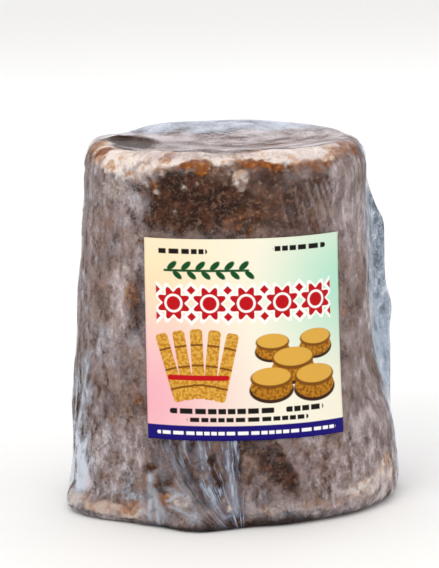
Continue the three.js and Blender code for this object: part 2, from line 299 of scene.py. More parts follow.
def gathered(rows, on):
    """The strongest of some patches at each place of the wall and rim."""
    found = np.zeros(on.height.shape)
    for strength, patch in on.patches(rows):
        found = np.maximum(found, strength * patch)
    return found * ease(on.radius, *TOP_EDGE)


def sugar(on):
    """How far the sugar stands out from the bag's outside at each place, how dry, damp and amber it is, where
    it is painted with shadow, where painted shade darkens its hollows and underside, and where the dark
    patch on the top lies."""
    hang, inner = CRUST_HANG, CRUST_INNER_RADIUS
    for bearing, spread, lower in CRUST_LOWER:
        hang = hang + lower * on.near(bearing, spread)
    for bearing, spread, wider in CRUST_WIDER:
        inner = inner - wider * on.near(bearing, spread)
    edge = HEIGHT - hang + (0.3 + 0.22 * hang) * on.stray[1] + NIBBLES[1] * rumple(on.points, NIBBLES[0], 5)
    below = edge - on.height
    rim = ease(on.height, edge - 1.3, edge + 1.0)
    rim = rim * ease(on.radius + 2.0 * on.stray[0], inner - 2.5, inner + 2.0)
    syrup = np.max([strength * on.near(bearing, spread, 4) for bearing, spread, strength in SYRUP], axis=0)
    crumbs = ease(rumple(on.points, CRUMB_SIZE, 7) - 0.12 - 0.17 * np.maximum(below, 0), 0.0, 0.22)
    crumbs = CRUMB_SHARE * crumbs * ease(below, -0.5, 0.5) * (1 - ease(below, *CRUMB_REACH)) * (1 - syrup**2)
    front = on.near(*CRUST_FRONT, 4)
    rim = np.maximum(rim, crumbs) * (CRUST_BEHIND + (1 - CRUST_BEHIND) * front)
    depth = SYRUP_DEPTH * (1 + 0.5 * on.stray[0])
    syrup = syrup * ease(below, -0.9, 0.4) * (1 - ease(below / depth, 0.1, 1.7)) * (1 - crumbs)

    grain_rise = np.zeros(on.height.shape)
    grain_tone = np.zeros(on.height.shape)
    for bearing, height, size, out in GRAINS:
        side = on.across(bearing) + 0.6 * size * rumple(on.points, 0.9 * size, 8)
        up = on.height - height + 0.6 * size * rumple(on.points, 0.9 * size, 9)
        distance = np.hypot(side, up) / size
        grain_rise = np.maximum(grain_rise, out * (1 - ease(distance, 0.2, 1.3)))
        grain_tone = np.maximum(grain_tone, min(0.6, 0.45 * size) * (1 - ease(distance, 0.2, 1.6)))

    crust = np.maximum(np.maximum(rim, gathered(PALE, on)), grain_tone)
    damp_and_shadow = gathered(DAMP_AND_SHADOW, on) * (1 - np.maximum(rim, grain_tone))
    wedge_x, wedge_y, half_width, half_depth, strength = WEDGE
    wedge = np.hypot((on.points[..., 0] - wedge_x) / half_width, (on.points[..., 1] - wedge_y) / half_depth)
    wedge = ease(on.normals[..., 2], 0.2, 0.7) * (1 - ease(wedge + 0.15 * on.stray[0], 0.6, 1.12))
    damp_and_shadow = np.maximum(damp_and_shadow, strength * wedge)
    amber = np.maximum(gathered(AMBER, on), syrup) * (1 - grain_tone)

    pits = -PITS[1] * ease(rumple(on.points, PITS[0], 6), 0.3, 0.7)
    relief = heaped(on.points, CRAGS) + heaped(on.points, ROUGHNESS) * (0.9 + 0.2 * crust)
    relief = (relief + pits * (1 - on.on_top)) * (1 - TOP_CALM * on.on_top)
    relief = relief * (1 - DAMP_CALM * damp_and_shadow) - DAMP_SINK * damp_and_shadow + CRUST_SWELL * rim - HIGH_PLACES
    relief = np.clip(relief, *RELIEF_RANGE) * (1 - on.on_foot) + grain_rise
    # Hollows are painted darker, as the shade that falls in them.
    hollow_shade = ease(smoothed(relief, HOLLOW_SHADE_BLUR) - relief, -0.2, 0.5)
    # The underside is painted dark, as the shade under the lump.
    underside_shade = ease(-on.normals[..., 2], 0.15, 0.6)
    fields = {"crust": crust * (1 - underside_shade), "damp_and_shadow": damp_and_shadow, "amber": amber, "hollow_shade": hollow_shade, "underside_shade": underside_shade}
    return relief - FILM_GAP, fields, wedge


def bag_skin(bearings):
    """The bag's outside at some bearings."""
    rays = survey_rays()
    reach = survey(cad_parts["bagged_lump"], rays, bearings)
    return Skin(rays, bearings, smoothed(reach, SKIN_BLUR))


lump_skin = bag_skin(crowded_bearings(COLUMNS))
lump_rise, lump_fields, _ = sugar(lump_skin)
lump_points = lump_skin.points + lump_skin.normals * lump_rise[..., None]


def smooth_mesh(name, spots, faces):
    """A smooth mesh over some points."""
    mesh = bpy.data.meshes.new(name)
    mesh.from_pydata((spots * MM).tolist(), [], faces)
    mesh.polygons.foreach_set("use_smooth", [True] * len(mesh.polygons))
    mesh.update()
    return mesh


def shown(name, data):
    """An object that puts some data in the scene."""
    made = bpy.data.objects.new(name, data)
    bpy.context.scene.collection.objects.link(made)
    return made


def closed_mesh(name, points, fields):
    """A closed mesh over a grid of points whose columns wrap round, with a middle point at each end. Its
    material reads the fields, which are a number for each point."""
    rows, columns = points.shape[:2]
    ends = [points[0].mean(axis=0), points[-1].mean(axis=0)]
    spots = np.concatenate([points.reshape(-1, 3), ends])
    index = np.arange(rows * columns).reshape(rows, columns)
    after = np.roll(index, -1, axis=1)
    quads = np.stack([index[:-1], after[:-1], after[1:], index[1:]], axis=-1).reshape(-1, 4)
    foot = np.stack([np.full(columns, rows * columns), after[0], index[0]], axis=-1)
    top = np.stack([np.full(columns, rows * columns + 1), index[-1], after[-1]], axis=-1)
    mesh = smooth_mesh(name, spots, quads.tolist() + foot.tolist() + top.tolist())
    for label, field in fields.items():
        values = np.concatenate([field.reshape(-1), [field[0].mean(), field[-1].mean()]])
        mesh.attributes.new(label, "FLOAT", "POINT").data.foreach_set("value", values.astype(np.float32))
    return shown(name, mesh)


lump = closed_mesh("jaggery_lump", lump_points, lump_fields)


def linear(hex_colour):
    """An sRGB hex colour as linear red, green, blue and alpha."""
    channels = [int(hex_colour[i : i + 2], 16) / 255 for i in (1, 3, 5)]
    return [c / 12.92 if c <= 0.04045 else ((c + 0.055) / 1.055) ** 2.4 for c in channels] + [1.0]


def per_metre(size):
    """The scale of a pattern that repeats about every size millimetres."""
    return 1 / (size * MM)


def fill(node, inputs):
    """Fills a node's inputs, by name or in order, with values or links."""
    for socket, value in inputs.items() if isinstance(inputs, dict) else enumerate(inputs):
        if isinstance(value, bpy.types.NodeSocket):
            node.id_data.links.new(value, node.inputs[socket])
        else:
            node.inputs[socket].default_value = value


def add(kind, inputs, output=0, **settings):
    """Adds a shader node to the tree in hand, fills its inputs and gives one output. Its kind is its type,
    with its operation if it has one."""
    kind, *operation = kind.split()
    made = tree.nodes.new("ShaderNode" + kind)
    for setting, value in settings.items():
        setattr(made, setting, value)
    for name in operation:
        made.operation = name
    fill(made, inputs)
    return made.outputs[output]


def layered(colour, coats):
    """A colour with other colours laid over it, each where its mask is."""
    for mask, coat in coats:
        colour = add("Mix", {0: mask, 6: colour, 7: coat}, 2, data_type="RGBA")
    return colour


def steepened(value, low, high, **ends):
    """A value made 0 at low and 1 at high, or other ends, and smooth between them."""
    inputs = {"Value": value, "From Min": low, "From Max": high}
    inputs.update({name.replace("_", " ").title(): end for name, end in ends.items()})
    return add("MapRange", inputs, interpolation_type="SMOOTHSTEP")


def multiplied(*masks):
    """The product of some masks."""
    product = masks[0]
    for mask in masks[1:]:
        product = add("Math MULTIPLY", [product, mask])
    return product


# Boiled cane sugar, set and turned out: a paste of fine crystals, dull where dry and glossy where damp. The
# eye sees it mottled at every size, because crystals scatter light and syrup swallows it.
# The damp colour is also the colour of the painted shadow patches.
SUGAR_DAMP_AND_SHADOW = linear("#25120a")
SUGAR_DAMP_LIGHT = linear("#573423")
SUGAR_BROWN = linear("#50372d")
SUGAR_DRY = linear("#80685e")
SUGAR_AMBER = linear("#86490f")
SUGAR_AMBER_DARK = linear("#4a2409")
SUGAR_STAINED = linear("#5f3d22")
SUGAR_AMBER_LIGHT = linear("#b67c40")
SUGAR_CRUST = linear("#ece0d8")
SUGAR_CRUST_PEACH = linear("#d3a880")
SUGAR_CRUST_GREY = linear("#a08d86")
SUGAR_SPECK = linear("#b8a08e")
# The colour of dark crystals, and also of the painted shade in hollows and on the underside.
SUGAR_DARK_AND_SHADE = linear("#26150e")
SUGAR_GRAIN = linear("#806350")
MOTTLE_SIZE = 7.0
BLOTCH_SIZE = 3.2
GRAIN_SIZE = 1.5
CRYSTAL_SIZE = 0.9  # real crystals are a third of this, and are drawn as coarse as shows
SPECK_SPACING = 2.4
CRYSTAL_BITE = 0.7  # how far the crystals break up the edge of a patch

cane_sugar = bpy.data.materials.new("boiled_cane_sugar_cast")
cane_sugar.use_nodes = True
tree = cane_sugar.node_tree
here = add("TexCoord", {}, "Object")
crust, damp_and_shadow, amber, hollow_shade, underside_shade = (
    add("Attribute", {}, "Fac", attribute_name=name)
    for name in ("crust", "damp_and_shadow", "amber", "hollow_shade", "underside_shade")
)
mottle, blotches, grains, crystals = (
    add("TexNoise", {"Vector": here, "Scale": per_metre(size), "Detail": detail, "Roughness": roughness})
    for size, detail, roughness in (
        (MOTTLE_SIZE, 5.0, 0.66),
        (BLOTCH_SIZE, 4.0, 0.62),
        (GRAIN_SIZE, 3.0, 0.6),
        (CRYSTAL_SIZE, 3.0, 0.6),
    )
)
specks = add("TexVoronoi", {"Vector": here, "Scale": per_metre(SPECK_SPACING)}, "Distance")
speck_mask = multiplied(
    steepened(specks, 0.06, 0.24, to_min=0.5, to_max=0.0),
    steepened(mottle, 0.45, 0.6),
    steepened(damp_and_shadow, 0.7, 0.2),
)


def roughened(mask, low, high):
    """A mask whose edge is broken up by the crystals."""
    broken = add("Math MULTIPLY_ADD", [crystals, CRYSTAL_BITE, mask])
    return steepened(broken, low + CRYSTAL_BITE / 2, high + CRYSTAL_BITE / 2)


thin_crust = steepened(crust, 0.95, 1.25, to_min=1.0, to_max=0.3)  # a thick one is whiter
crust_tone = layered(
    SUGAR_CRUST,
    [
        (multiplied(steepened(blotches, 0.50, 0.64, to_max=0.9), thin_crust), SUGAR_CRUST_PEACH),
        (steepened(mottle, 0.52, 0.64, to_max=0.9), SUGAR_CRUST_GREY),
        (steepened(amber, 0.1, 0.5, to_max=0.75), SUGAR_CRUST_PEACH),
        (steepened(grains, 0.52, 0.7, to_max=0.25), SUGAR_CRUST_GREY),
        (steepened(crystals, 0.55, 0.75, to_max=0.15), SUGAR_CRUST_PEACH),
    ],
)
damp_and_shadow_tone = layered(
    SUGAR_DAMP_AND_SHADOW,
    [
        (steepened(blotches, 0.42, 0.72), SUGAR_DAMP_LIGHT),
        (steepened(grains, 0.5, 0.72, to_max=0.25), SUGAR_GRAIN),
        (steepened(crystals, 0.52, 0.7, to_max=0.3), SUGAR_GRAIN),
    ],
)
amber_tone = layered(
    SUGAR_AMBER,
    [
        (steepened(grains, 0.48, 0.3), SUGAR_AMBER_DARK),
        (steepened(grains, 0.54, 0.7, to_max=0.8), SUGAR_AMBER_LIGHT),
    ],
)
grain_mask = multiplied(
    steepened(grains, 0.5, 0.72, to_max=0.5),
    steepened(damp_and_shadow, 0.86, 1.0, to_min=1.0, to_max=0.3),
)
amber_mask = add("Math MULTIPLY_ADD", [crystals, 1.3, amber])
amber_mask = add("Math MULTIPLY_ADD", [blotches, 0.6, amber_mask])
amber_mask = steepened(amber_mask, 1.15, 1.8)
colour = layered(
    SUGAR_BROWN,
    [
        (steepened(mottle, 0.40, 0.64), SUGAR_DRY),
        (steepened(blotches, 0.56, 0.74, to_max=0.6), SUGAR_DAMP_LIGHT),
        (steepened(grains, 0.54, 0.7, to_max=0.3), SUGAR_SPECK),
        # damp sugar, and the painted shadow patches, in the damp colour
        (roughened(damp_and_shadow, 0.15, 0.75), damp_and_shadow_tone),
        (steepened(amber, 0.05, 0.6, to_max=0.5), SUGAR_STAINED),
        (steepened(crystals, 0.48, 0.3, to_max=0.5), SUGAR_DARK_AND_SHADE),
        (grain_mask, SUGAR_GRAIN),
        (speck_mask, SUGAR_SPECK),
        (roughened(crust, 0.05, 0.95), crust_tone),
        (amber_mask, amber_tone),
        # painted shade in the sugar's hollows
        (steepened(hollow_shade, 0.45, 1.0, to_max=0.5), SUGAR_DARK_AND_SHADE),
        # painted shade on the underside
        (underside_shade, SUGAR_DARK_AND_SHADE),
    ],
)
grit = add("Bump", {"Height": crystals, "Strength": 0.55, "Distance": 0.25 * MM})
roughness = steepened(damp_and_shadow, 0.2, 0.9, to_min=0.75, to_max=0.5)
sugar_look = {"IOR": 1.5, "Specular IOR Level": 0.12, "Base Color": colour, "Roughness": roughness}
fill(tree.nodes["Principled BSDF"], {**sugar_look, "Normal": grit})
lump.data.materials.append(cane_sugar)

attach(lump, "root")
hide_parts("bagged_lump")

# ----------------------------------------
# The film bag. A clear polypropylene bag drawn down over the lump by hand and gathered under its foot. It
# lies on the sugar's high places and hazes where it stands clear, creases upright on the wall and across
# the top, and leaves a flat two-ply fin of spare film on the right.
# ----------------------------------------

FIN_COLUMNS = 31
FIN_SPAN = (18, 103)  # the heights that it stands between
FIN_ROOT_SLOPE = 6.0  # how fast the plies close on each other, going out along the fin
FIN_ROOT_WIDTH = (3.5, 8)  # how far round the fin's root the film is hazy too
FIN_ROOT_HAZE = 0.6
FIN_ROOT_SHARE = 0.85
FIN_STRETCH = 1.15  # over 1, its columns lie closer together near the root
FIN_WAVE = 1.3
FIN_PALING = (36, 84)  # it turns paler going down between these heights
PLY_GAP = 0.35  # half the gap between the plies

# The label presses the film flat: its width, height, bearing, the height of its middle, and its tilt.
LABEL_WIDTH = 60
LABEL_HEIGHT = 59
LABEL_BEARING = 276.1
LABEL_MIDDLE = 55.8
LABEL_TILT = -0.8

fin_bearings = np.linspace(-FIN_HALF, FIN_HALF, FIN_COLUMNS)
film_bearings = np.concatenate(
    [fin_bearings, crowded_bearings(COLUMNS - FIN_COLUMNS, FIN_HALF, 360 - FIN_HALF)]
)
film_skin = bag_skin(film_bearings)

# Haze of the film by place, with painted sheen in a few patches: bearing, height, half-width, half-height,
# how much it hides, and the lean of the few patches that lean.
WALL_HAZE = 0.24
TOP_HAZE = 0.63
BACK_OF_TOP_HAZE_AND_SHEEN = 0.95
HAZE_AND_SHEEN = [
    (125, 60, 50, 70, 0.36), (50, 60, 40, 70, 0.36), (166, 28, 22, 30, 0.52), (270, 60, 42, 60, 0.2),
    (255, 97, 21, 13, 0.0), (283, 97, 14, 13, 0.02), (304, 94, 10, 10, 0.03), (330, 75, 15, 40, 0.4),
    (350, 60, 6, 60, 0.48), (328, 25, 16, 26, 0.4), (230, 90, 8, 13, 0.28), (225, 40, 13, 11, 0.19),
    # The patch at bearing 197 low down is partly film standing clear and partly a painted sheen down the left
    # edge.
    (225, 64, 4.6, 10, 0.54), (220, 17, 18, 11, 0.62), (197, 13, 14, 14, 0.88), (194, 34, 6, 11, 0.34),
    (256, 17, 19, 13, 0.09), (304, 17, 10, 11, 0.25), (285.8, 18, 4.6, 10, 0.02, -0.45),
    # The patches at bearings 326 and 328 low down paint a whitish sheen on the foot's right corner.
    (279.5, 22.5, 7.5, 6.0, 0.05), (326, 10, 22, 8, 0.45), (328, 5.5, 20, 4.2, 0.78),
    (333, 13.2, 4.5, 3, 0.2), (202, 106.5, 6, 4, 0.15), (270, 106.3, 24, 2.4, 0.04),
    (235.2, 67, 3.0, 10, 0.05), (231, 68, 2.4, 5, 0.12), (222, 105, 18, 5, 0.28),
    # The last patch on this line clears the film along the front's bottom edge, over the painted shadow
    # there.
    (303, 108.5, 20, 2.2, 0.62), (336, 107.5, 10, 3, 0.14), (330, 97, 6, 9, 0.44), (275, 0, 36, 3.2, 0.03),
]
BACK_OF_TOP = (8, 38)  # how far back on the top the film lifts clear and turns milky, and is painted whiter and cooler as a sheen
CLOUDS = [((13, 13, 17), 0.75, 31), ((6, 6, 7), 0.5, 32)]  # unevenness of the haze: size, amount and seed
CRUST_CLEAR = 0.3  # the film clings to the crust, the syrup and one corner of the top, and hides less there
AMBER_CLEAR = 0.6
CORNER = (203, 108.5, 13, 4)
CORNER_CLEAR = 0.6
# How mottled the haze is, in the same way.
WALL_MOTTLED = 2.1
TOP_MOTTLED = 2.7
MOTTLED = [
    (125, 60, 50, 80, 1.5), (50, 60, 40, 80, 1.5), (166, 28, 22, 30, 2.4), (325, 62, 22, 48, 1.5),
    (222, 20, 20, 16, 2.6), (199, 20, 9, 20, 4.0), (308, 18, 14, 10, 2.6), (303, 108.5, 20, 3, 0.9),
]
# How streaky the haze is rather than blotchy, in the same way.
WALL_STREAKY = 0.12
TOP_STREAKY = 0.8
STREAKY = [
    (90, 60, 80, 70, 0.35), (316, 92, 14, 12, 0.5), (237.5, 20, 4, 12, 0.4),
]
# How cool the haze looks by place, in the same way: warm where it lies against dry sugar, cool where the film
# stands clear or is folded, and in the painted sheen down the left edge and on the foot's right corner.
WALL_COOL = 0.45
TOP_COOL = 0.25
COOL = [
    (168, 28, 20, 30, 0.9), (316, 50, 26, 60, 0.05), (351, 60, 6, 60, 1.0), (232, 88, 9, 14, 0.3),
    (222, 16, 20, 18, 0.4), (197, 24, 13, 30, 1.0), (250, 12, 16, 14, 0.9), (328, 5.5, 20, 4.6, 0.2),
    (237.5, 20, 4, 12, 0.0), (242.5, 9, 3.5, 9, 1.0), (286, 18, 7, 12, 0.0, -0.45), (226, 65, 6, 11, 0.0),
]
# The fan of fine strands that the film is drawn into where it is gathered under the foot. It is bounded by
# two bearings at its top, which is just under the label, and narrows to two others at its foot.
FAN_LEFT = (238, 261)
FAN_RIGHT = (273.5, 273.5)
FAN_TOP = 27.5
FAN_FOOT = 3.5
FAN_BEND = 1.5  # over 1, the strands run straight down at first and then bend to the right
FAN_STRANDS = 20
STRAND_RUN = 2.4
# Holes where the gathered film lies open over the sugar: bearing, height, half-width, half-height and lean.
HOLES = [
    (262.4, 20.0, 1.5, 1.5), (263.6, 16.5, 1.3, 2.0, -0.2), (264.8, 14.3, 1.5, 1.8),
    (260.2, 15.0, 0.9, 2.6, -0.4), (247.7, 13.1, 1.6, 1.1, -0.4), (241.7, 18.2, 1.6, 1.4),
    (243.9, 14.0, 0.7, 2.0), (268.7, 6.4, 1.0, 1.0), (256.5, 17.0, 1.0, 3.4, -0.5), (266.8, 9.8, 1.0, 1.2),
]
# Creases that show one by one: from bearing and height, to bearing and height, how far the middle bows to
# the left, half-width, how far they stand out, and how much they hide.
CREASES = [
    (258.2, 26.5, 265.9, 4.5, 1.0, 1.7, 0.45, 0.56), (256.0, 26.0, 263.5, 7.0, 0.8, 0.9, 0.2, 0.25),
    (267.2, 25.5, 271.6, 4.5, -0.4, 1.5, 0.45, 0.55), (269.0, 15.0, 271.0, 3.0, 0.0, 2.2, 0.5, 0.55),
    (247.5, 26.7, 262.0, 7.4, 0.8, 0.8, 0.4, 0.3), (249.5, 26.0, 262.5, 6.4, 1.0, 0.7, 0.2, 0.22),
    (244.5, 12.5, 262.3, 4.0, -1.6, 0.8, 0.4, 0.45), (246.5, 7.0, 262.3, 3.0, -0.8, 0.8, 0.4, 0.45),
    (241.2, 17.3, 241.4, 1.0, 0.2, 1.5, 0.6, 0.6), (242.2, 13.0, 245.0, 0.3, -0.3, 1.3, 0.4, 0.55),
    (266.0, 8.9, 270.6, 8.3, 0.5, 0.8, 0.4, 0.6), (266.2, 3.6, 270.6, 4.4, -0.5, 0.8, 0.4, 0.55),
    (240.4, 7.5, 238.6, 0.5, 0.0, 1.2, 0.3, 0.35), (267.8, 23.0, 270.2, 9.0, 0.0, 0.45, 0.3, 0.75),
    (245.9, 26.0, 251.2, 15.0, -0.4, 0.9, 0.3, 0.5), (251.0, 16.5, 259.8, 5.6, 0.5, 0.8, 0.4, 0.5),
    (246.2, 8.0, 251.6, 10.6, 0.5, 0.5, 0.4, 0.55), (251.2, 10.8, 256.0, 8.8, -0.4, 0.5, 0.4, 0.5),
    (266.0, 7.5, 269.2, 8.6, 0.5, 1.1, 0.6, 0.5), (243.0, 8.5, 250.0, 2.4, 0.3, 1.0, 0.4, 0.45),
    (236.3, 33.0, 240.0, 17.0, 0.4, 0.3, 0.3, 0.5), (233.5, 30.0, 238.0, 12.0, 0.4, 0.3, 0.3, 0.45),
    (262.5, 11.0, 267.5, 3.5, 0.2, 0.9, 0.7, 0.65), (275.5, 12.0, 273.5, 4.0, 0.0, 0.4, 0.4, 0.45),
    (305.1, 100.5, 310.5, 87.5, 0.0, 0.5, 0.1, 0.42), (307.6, 100.8, 314.5, 85.5, 0.2, 0.45, 0.1, 0.42),
    (310.6, 100.0, 318.4, 84.5, -0.2, 0.5, 0.1, 0.46), (301.5, 101.0, 304.0, 92.5, 0.0, 0.5, 0.1, 0.4),
    (314.0, 101.0, 319.5, 90.5, 0.2, 0.5, 0.1, 0.48), (303.0, 97.0, 308.0, 86.0, 0.0, 0.45, 0.1, 0.35),
    (319.5, 103.0, 323.0, 93.0, 0.0, 0.7, 0.1, 0.4), (325.2, 102.5, 331.5, 86.0, 0.4, 1.6, 0.1, 0.42),
    (321.0, 92.0, 327.0, 74.0, 0.0, 0.5, 0.1, 0.34), (313.0, 84.0, 318.0, 66.0, 0.0, 0.5, 0.1, 0.28),
    (296.5, 100.0, 299.0, 89.0, 0.0, 0.35, 0.1, 0.28), (299.5, 96.0, 303.0, 84.0, 0.1, 0.3, 0.1, 0.32),
    (306.5, 95.0, 310.5, 82.0, 0.0, 0.35, 0.1, 0.35), (291.0, 98.0, 293.0, 88.0, 0.0, 0.3, 0.1, 0.2),
    (309.5, 102.0, 312.5, 93.0, 0.0, 0.3, 0.1, 0.35), (287.5, 25.8, 296.0, 13.0, 1.2, 0.3, 0.3, 0.35),
    (212.0, 51.5, 203.6, 31.5, 0.3, 0.9, 0.8, 0.7), (205.4, 37.0, 199.8, 20.0, 0.4, 1.6, 0.7, 0.75),
    # The broad crease from bearing 201.6 down the left edge is partly a real crease and partly painted sheen.
    (201.6, 24.0, 203.5, 6.5, -0.4, 2.8, 0.5, 0.65), (209.5, 20.0, 211.0, 8.0, 0.2, 1.2, 0.3, 0.4),
    (211.0, 52.0, 205.8, 31.0, 0.6, 0.4, 0.4, 0.5), (329.8, 21.0, 336.5, 9.0, -0.4, 0.6, 0.4, 0.6),
    (357.5, 47.0, 366.0, 33.0, 0.0, 0.45, 0.4, 0.8),
]
WALL_CREASES = 110  # more of them, strewn over the wall
TOP_CREASES = 90
WALL_CREASE_RISE = 0.1
TOP_CREASE_RISE = 0.12
RANDOM_SEED = 11
WAVES = [((7, 7, 12), 0.07, 21), ((2.4, 2.4, 4), 0.02, 22)]  # size, height and seed
FILM_BRIDGE = 0.2  # how far the film stands off the sugar's high places
FILM_CLEARANCE = 0.05
FILM_BLUR = 2.2  # in cells
LIFT = (180, 109.5, 20, 4.0)  # where the film is drawn up off the top's left corner
LIFT_RISE = 0.8


def crease_field(side, up, end_side, end_up, bow, half_width):
    """The rounded profile of one crease that runs from the origin to an end."""
    length = math.hypot(end_side, end_up)
    share = (side * end_side + up * end_up) / length**2
    offset = (side * end_up - up * end_side) / length
    offset = offset - bow * 4 * share * (1 - share)
    taper = ease(share, 0.0, 0.12) * (1 - ease(share, 0.88, 1.0))
    width = half_width * (0.35 + 0.65 * taper)
    return np.exp(-((offset / width) ** 2)) * taper


def creases(on, slack):
    """How far the film stands out in its creases at each place, and how much they hide. The strewn ones need
    slack film."""
    rise = np.zeros(on.height.shape)
    haze_and_sheen = np.zeros(on.height.shape)
    wall = 1 - on.on_top
    for bearing, height, end_bearing, end_height, bow, half_width, out, hide in CREASES:
        side = on.across(bearing) + 0.35 * on.stray[0]
        run = math.radians(end_bearing - bearing) * MEAN_RADIUS
        field = crease_field(side, on.height - height, run, end_height - height, bow, half_width) * wall
        rise = np.maximum(rise, out * field)
        haze_and_sheen = np.maximum(haze_and_sheen, hide * field)
    dice = np.random.default_rng(RANDOM_SEED)
    for _ in range(WALL_CREASES):
        bearing, height = dice.uniform(0, 360), dice.uniform(8, 102)
        length, lean = dice.uniform(6, 22), dice.normal(0, 0.14)
        half_width, hide = dice.uniform(0.6, 1.6), dice.uniform(0.05, 0.22)
        side = on.across(bearing) + 0.5 * on.stray[0]
        up = on.height - height - length / 2
        field = crease_field(side, up, lean * length, -length, dice.normal(0, 0.6), half_width) * wall
        rise = np.maximum(rise, WALL_CREASE_RISE * field * slack)
        haze_and_sheen = np.maximum(haze_and_sheen, hide * field * slack)
    for _ in range(TOP_CREASES):
        start, ring = dice.uniform(180, 330), dice.uniform(4, 60)
        length, lean = dice.uniform(15, 60), dice.normal(0, 0.05)
        half_width, hide = dice.uniform(0.9, 3.0), dice.uniform(0.05, 0.3)
        side = np.radians((on.top_turn - start + 180) % 360 - 180) * np.maximum(on.top_ring, 12)
        up = ring - on.top_ring + 1.2 * on.stray[1]
        field = crease_field(side, up, length, lean * length, dice.normal(0, 1.0), half_width) * on.on_top
        rise = np.maximum(rise, TOP_CREASE_RISE * field)
        haze_and_sheen = np.maximum(haze_and_sheen, hide * field)
    return rise, haze_and_sheen


def fan(on):
    """Where each place lies in the fan: its number across the strands, how far down them, and whether it is
    in the fan at all."""
    down = (FAN_TOP - on.height) / (FAN_TOP - FAN_FOOT)
    bent = np.clip(down, 0, 1.1) ** FAN_BEND
    left, right = (side[0] + (side[1] - side[0]) * bent for side in (FAN_LEFT, FAN_RIGHT))
    share = (on.bearing - left) / (right - left)
    strand = share * FAN_STRANDS + 0.35 * on.stray[0]
    among = ease(share + 0.05 * on.stray[1], -0.04, 0.1) * (1 - ease(share, 0.94, 1.04))
    among = among * ease(down, -0.1, 0) * (1 - ease(down, 1.05, 1.2)) * (1 - on.on_foot)
    return strand, down * STRAND_RUN, among * (0.55 + 0.45 * ease(share, 0.25, 0.6))


def under_label(on):
    """1 under the label and 0 clear of it."""
    side = np.abs(on.across(LABEL_BEARING)) - LABEL_WIDTH / 2
    up = np.abs(on.height - LABEL_MIDDLE) - LABEL_HEIGHT / 2
    return (1 - ease(side, 0, 2)) * (1 - ease(up, 0, 2))


def painted(on, wall, top, rows):
    """A number for the wall and one for the top, changed to other numbers in some patches of the wall."""
    value = wall + (top - wall) * on.on_top
    for number, patch in on.patches(rows, ragged=1.5):
        value = value + (number - value) * patch * (1 - on.on_top)
    return value


sugar_rise, sugar_fields, wedge = sugar(film_skin)
back_of_top_sheen = ease(film_skin.points[..., 1], *BACK_OF_TOP) * film_skin.on_top
haze_and_sheen = painted(film_skin, WALL_HAZE, TOP_HAZE, HAZE_AND_SHEEN) * (1 + heaped(film_skin.points, CLOUDS))
haze_and_sheen = haze_and_sheen + (BACK_OF_TOP_HAZE_AND_SHEEN - haze_and_sheen) * back_of_top_sheen
haze_and_sheen = haze_and_sheen * (1 - wedge) * (1 - CRUST_CLEAR * sugar_fields["crust"])
haze_and_sheen = haze_and_sheen * (1 - AMBER_CLEAR * sugar_fields["amber"])
haze_and_sheen = haze_and_sheen * (1 - CORNER_CLEAR * film_skin.patch(*CORNER) * ease(film_skin.radius, 31, 37))
crease_rise, crease_haze = creases(film_skin, ease(haze_and_sheen, 0.05, 0.35))
strand, strand_run, in_fan = fan(film_skin)
open_holes = np.max([film_skin.patch(*hole, ragged=0.8) for hole in HOLES], axis=0)
crease_haze = crease_haze * (1 - 0.9 * wedge) * (1 - 0.8 * open_holes)
in_fan = in_fan * (1 - open_holes)
haze_and_sheen = haze_and_sheen * (1 - open_holes)
lift = film_skin.patch(*LIFT, ragged=0) * film_skin.on_top * ease(film_skin.radius, 18, 34)
film_rise = heaped(film_skin.points, WAVES) + LIFT_RISE * lift + crease_rise
film_rise = film_rise * (1 - film_skin.on_foot) * (1 - under_label(film_skin))
film_rise = smoothed(np.maximum(film_rise, sugar_rise + FILM_BRIDGE), FILM_BLUR)
film_rise = np.maximum(film_rise, sugar_rise + FILM_CLEARANCE)
film_points = film_skin.points + film_skin.normals * film_rise[..., None]
film_points[..., 2] = np.maximum(film_points[..., 2], 0)

# Where the film stands clear of the sugar it hazes, and where it clings it turns nearly clear.
gap = film_rise - sugar_rise
stand_off = ease(gap + 0.12 * rumple(film_skin.points, 1.4, 23), 0.12, 1.0)
film_haze_and_sheen = np.clip(haze_and_sheen * (0.7 + 0.6 * stand_off), 0, 1)
streaky = painted(film_skin, WALL_STREAKY, TOP_STREAKY, STREAKY)
streaky = streaky * (1 - 0.8 * film_skin.on_top * ease(film_skin.radius, 36, 41))
# The back of the top is painted cool, as part of its painted sheen.
film_cool = np.maximum(painted(film_skin, WALL_COOL, TOP_COOL, COOL), back_of_top_sheen)


def fin_edge(solid, rows):
    """How far out the fin's edge stands at the height of each row, along +X from the axis."""
    tree = ray_tree(solid)
    out = []
    for height in rows:
        hit = tree.ray_cast(Vector((0.2, AXIS_Y * MM, height * MM)), Vector((-1, 0, 0)))[0]
        out.append(hit.x / MM if hit else 0)
    return np.array(out)


# The fin grows out of the columns nearest the right side: its two plies start a little apart on the wall,
# close on each other and meet at its edge.
middle = FIN_COLUMNS // 2
fin = np.abs(film_skin.bearing) <= FIN_HALF
row_height = film_skin.height[:, middle]
beyond = fin_edge(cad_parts["bagged_lump"], row_height) - film_skin.radius[:, middle]
beyond = np.where((row_height > FIN_SPAN[0]) & (row_height < FIN_SPAN[1]), np.maximum(beyond, 0), 0)
beyond = smoothed(beyond[:, None], 1.2)[:, 0][:, None]
side_share = film_bearings[None, :FIN_COLUMNS] / FIN_HALF
outwards = 1 - np.abs(side_share)
flat = film_points[:, :FIN_COLUMNS]
half_gap = PLY_GAP + (np.abs(flat[:, :1, 1] - AXIS_Y) - PLY_GAP) * np.exp(-FIN_ROOT_SLOPE * outwards)
standing = ease(beyond, 0.2, 1.6)
fin_side = np.sign(side_share) * half_gap
on_fin = np.stack([flat[..., 0] + beyond * outwards, 0 * flat[..., 1], flat[..., 2]], axis=-1)
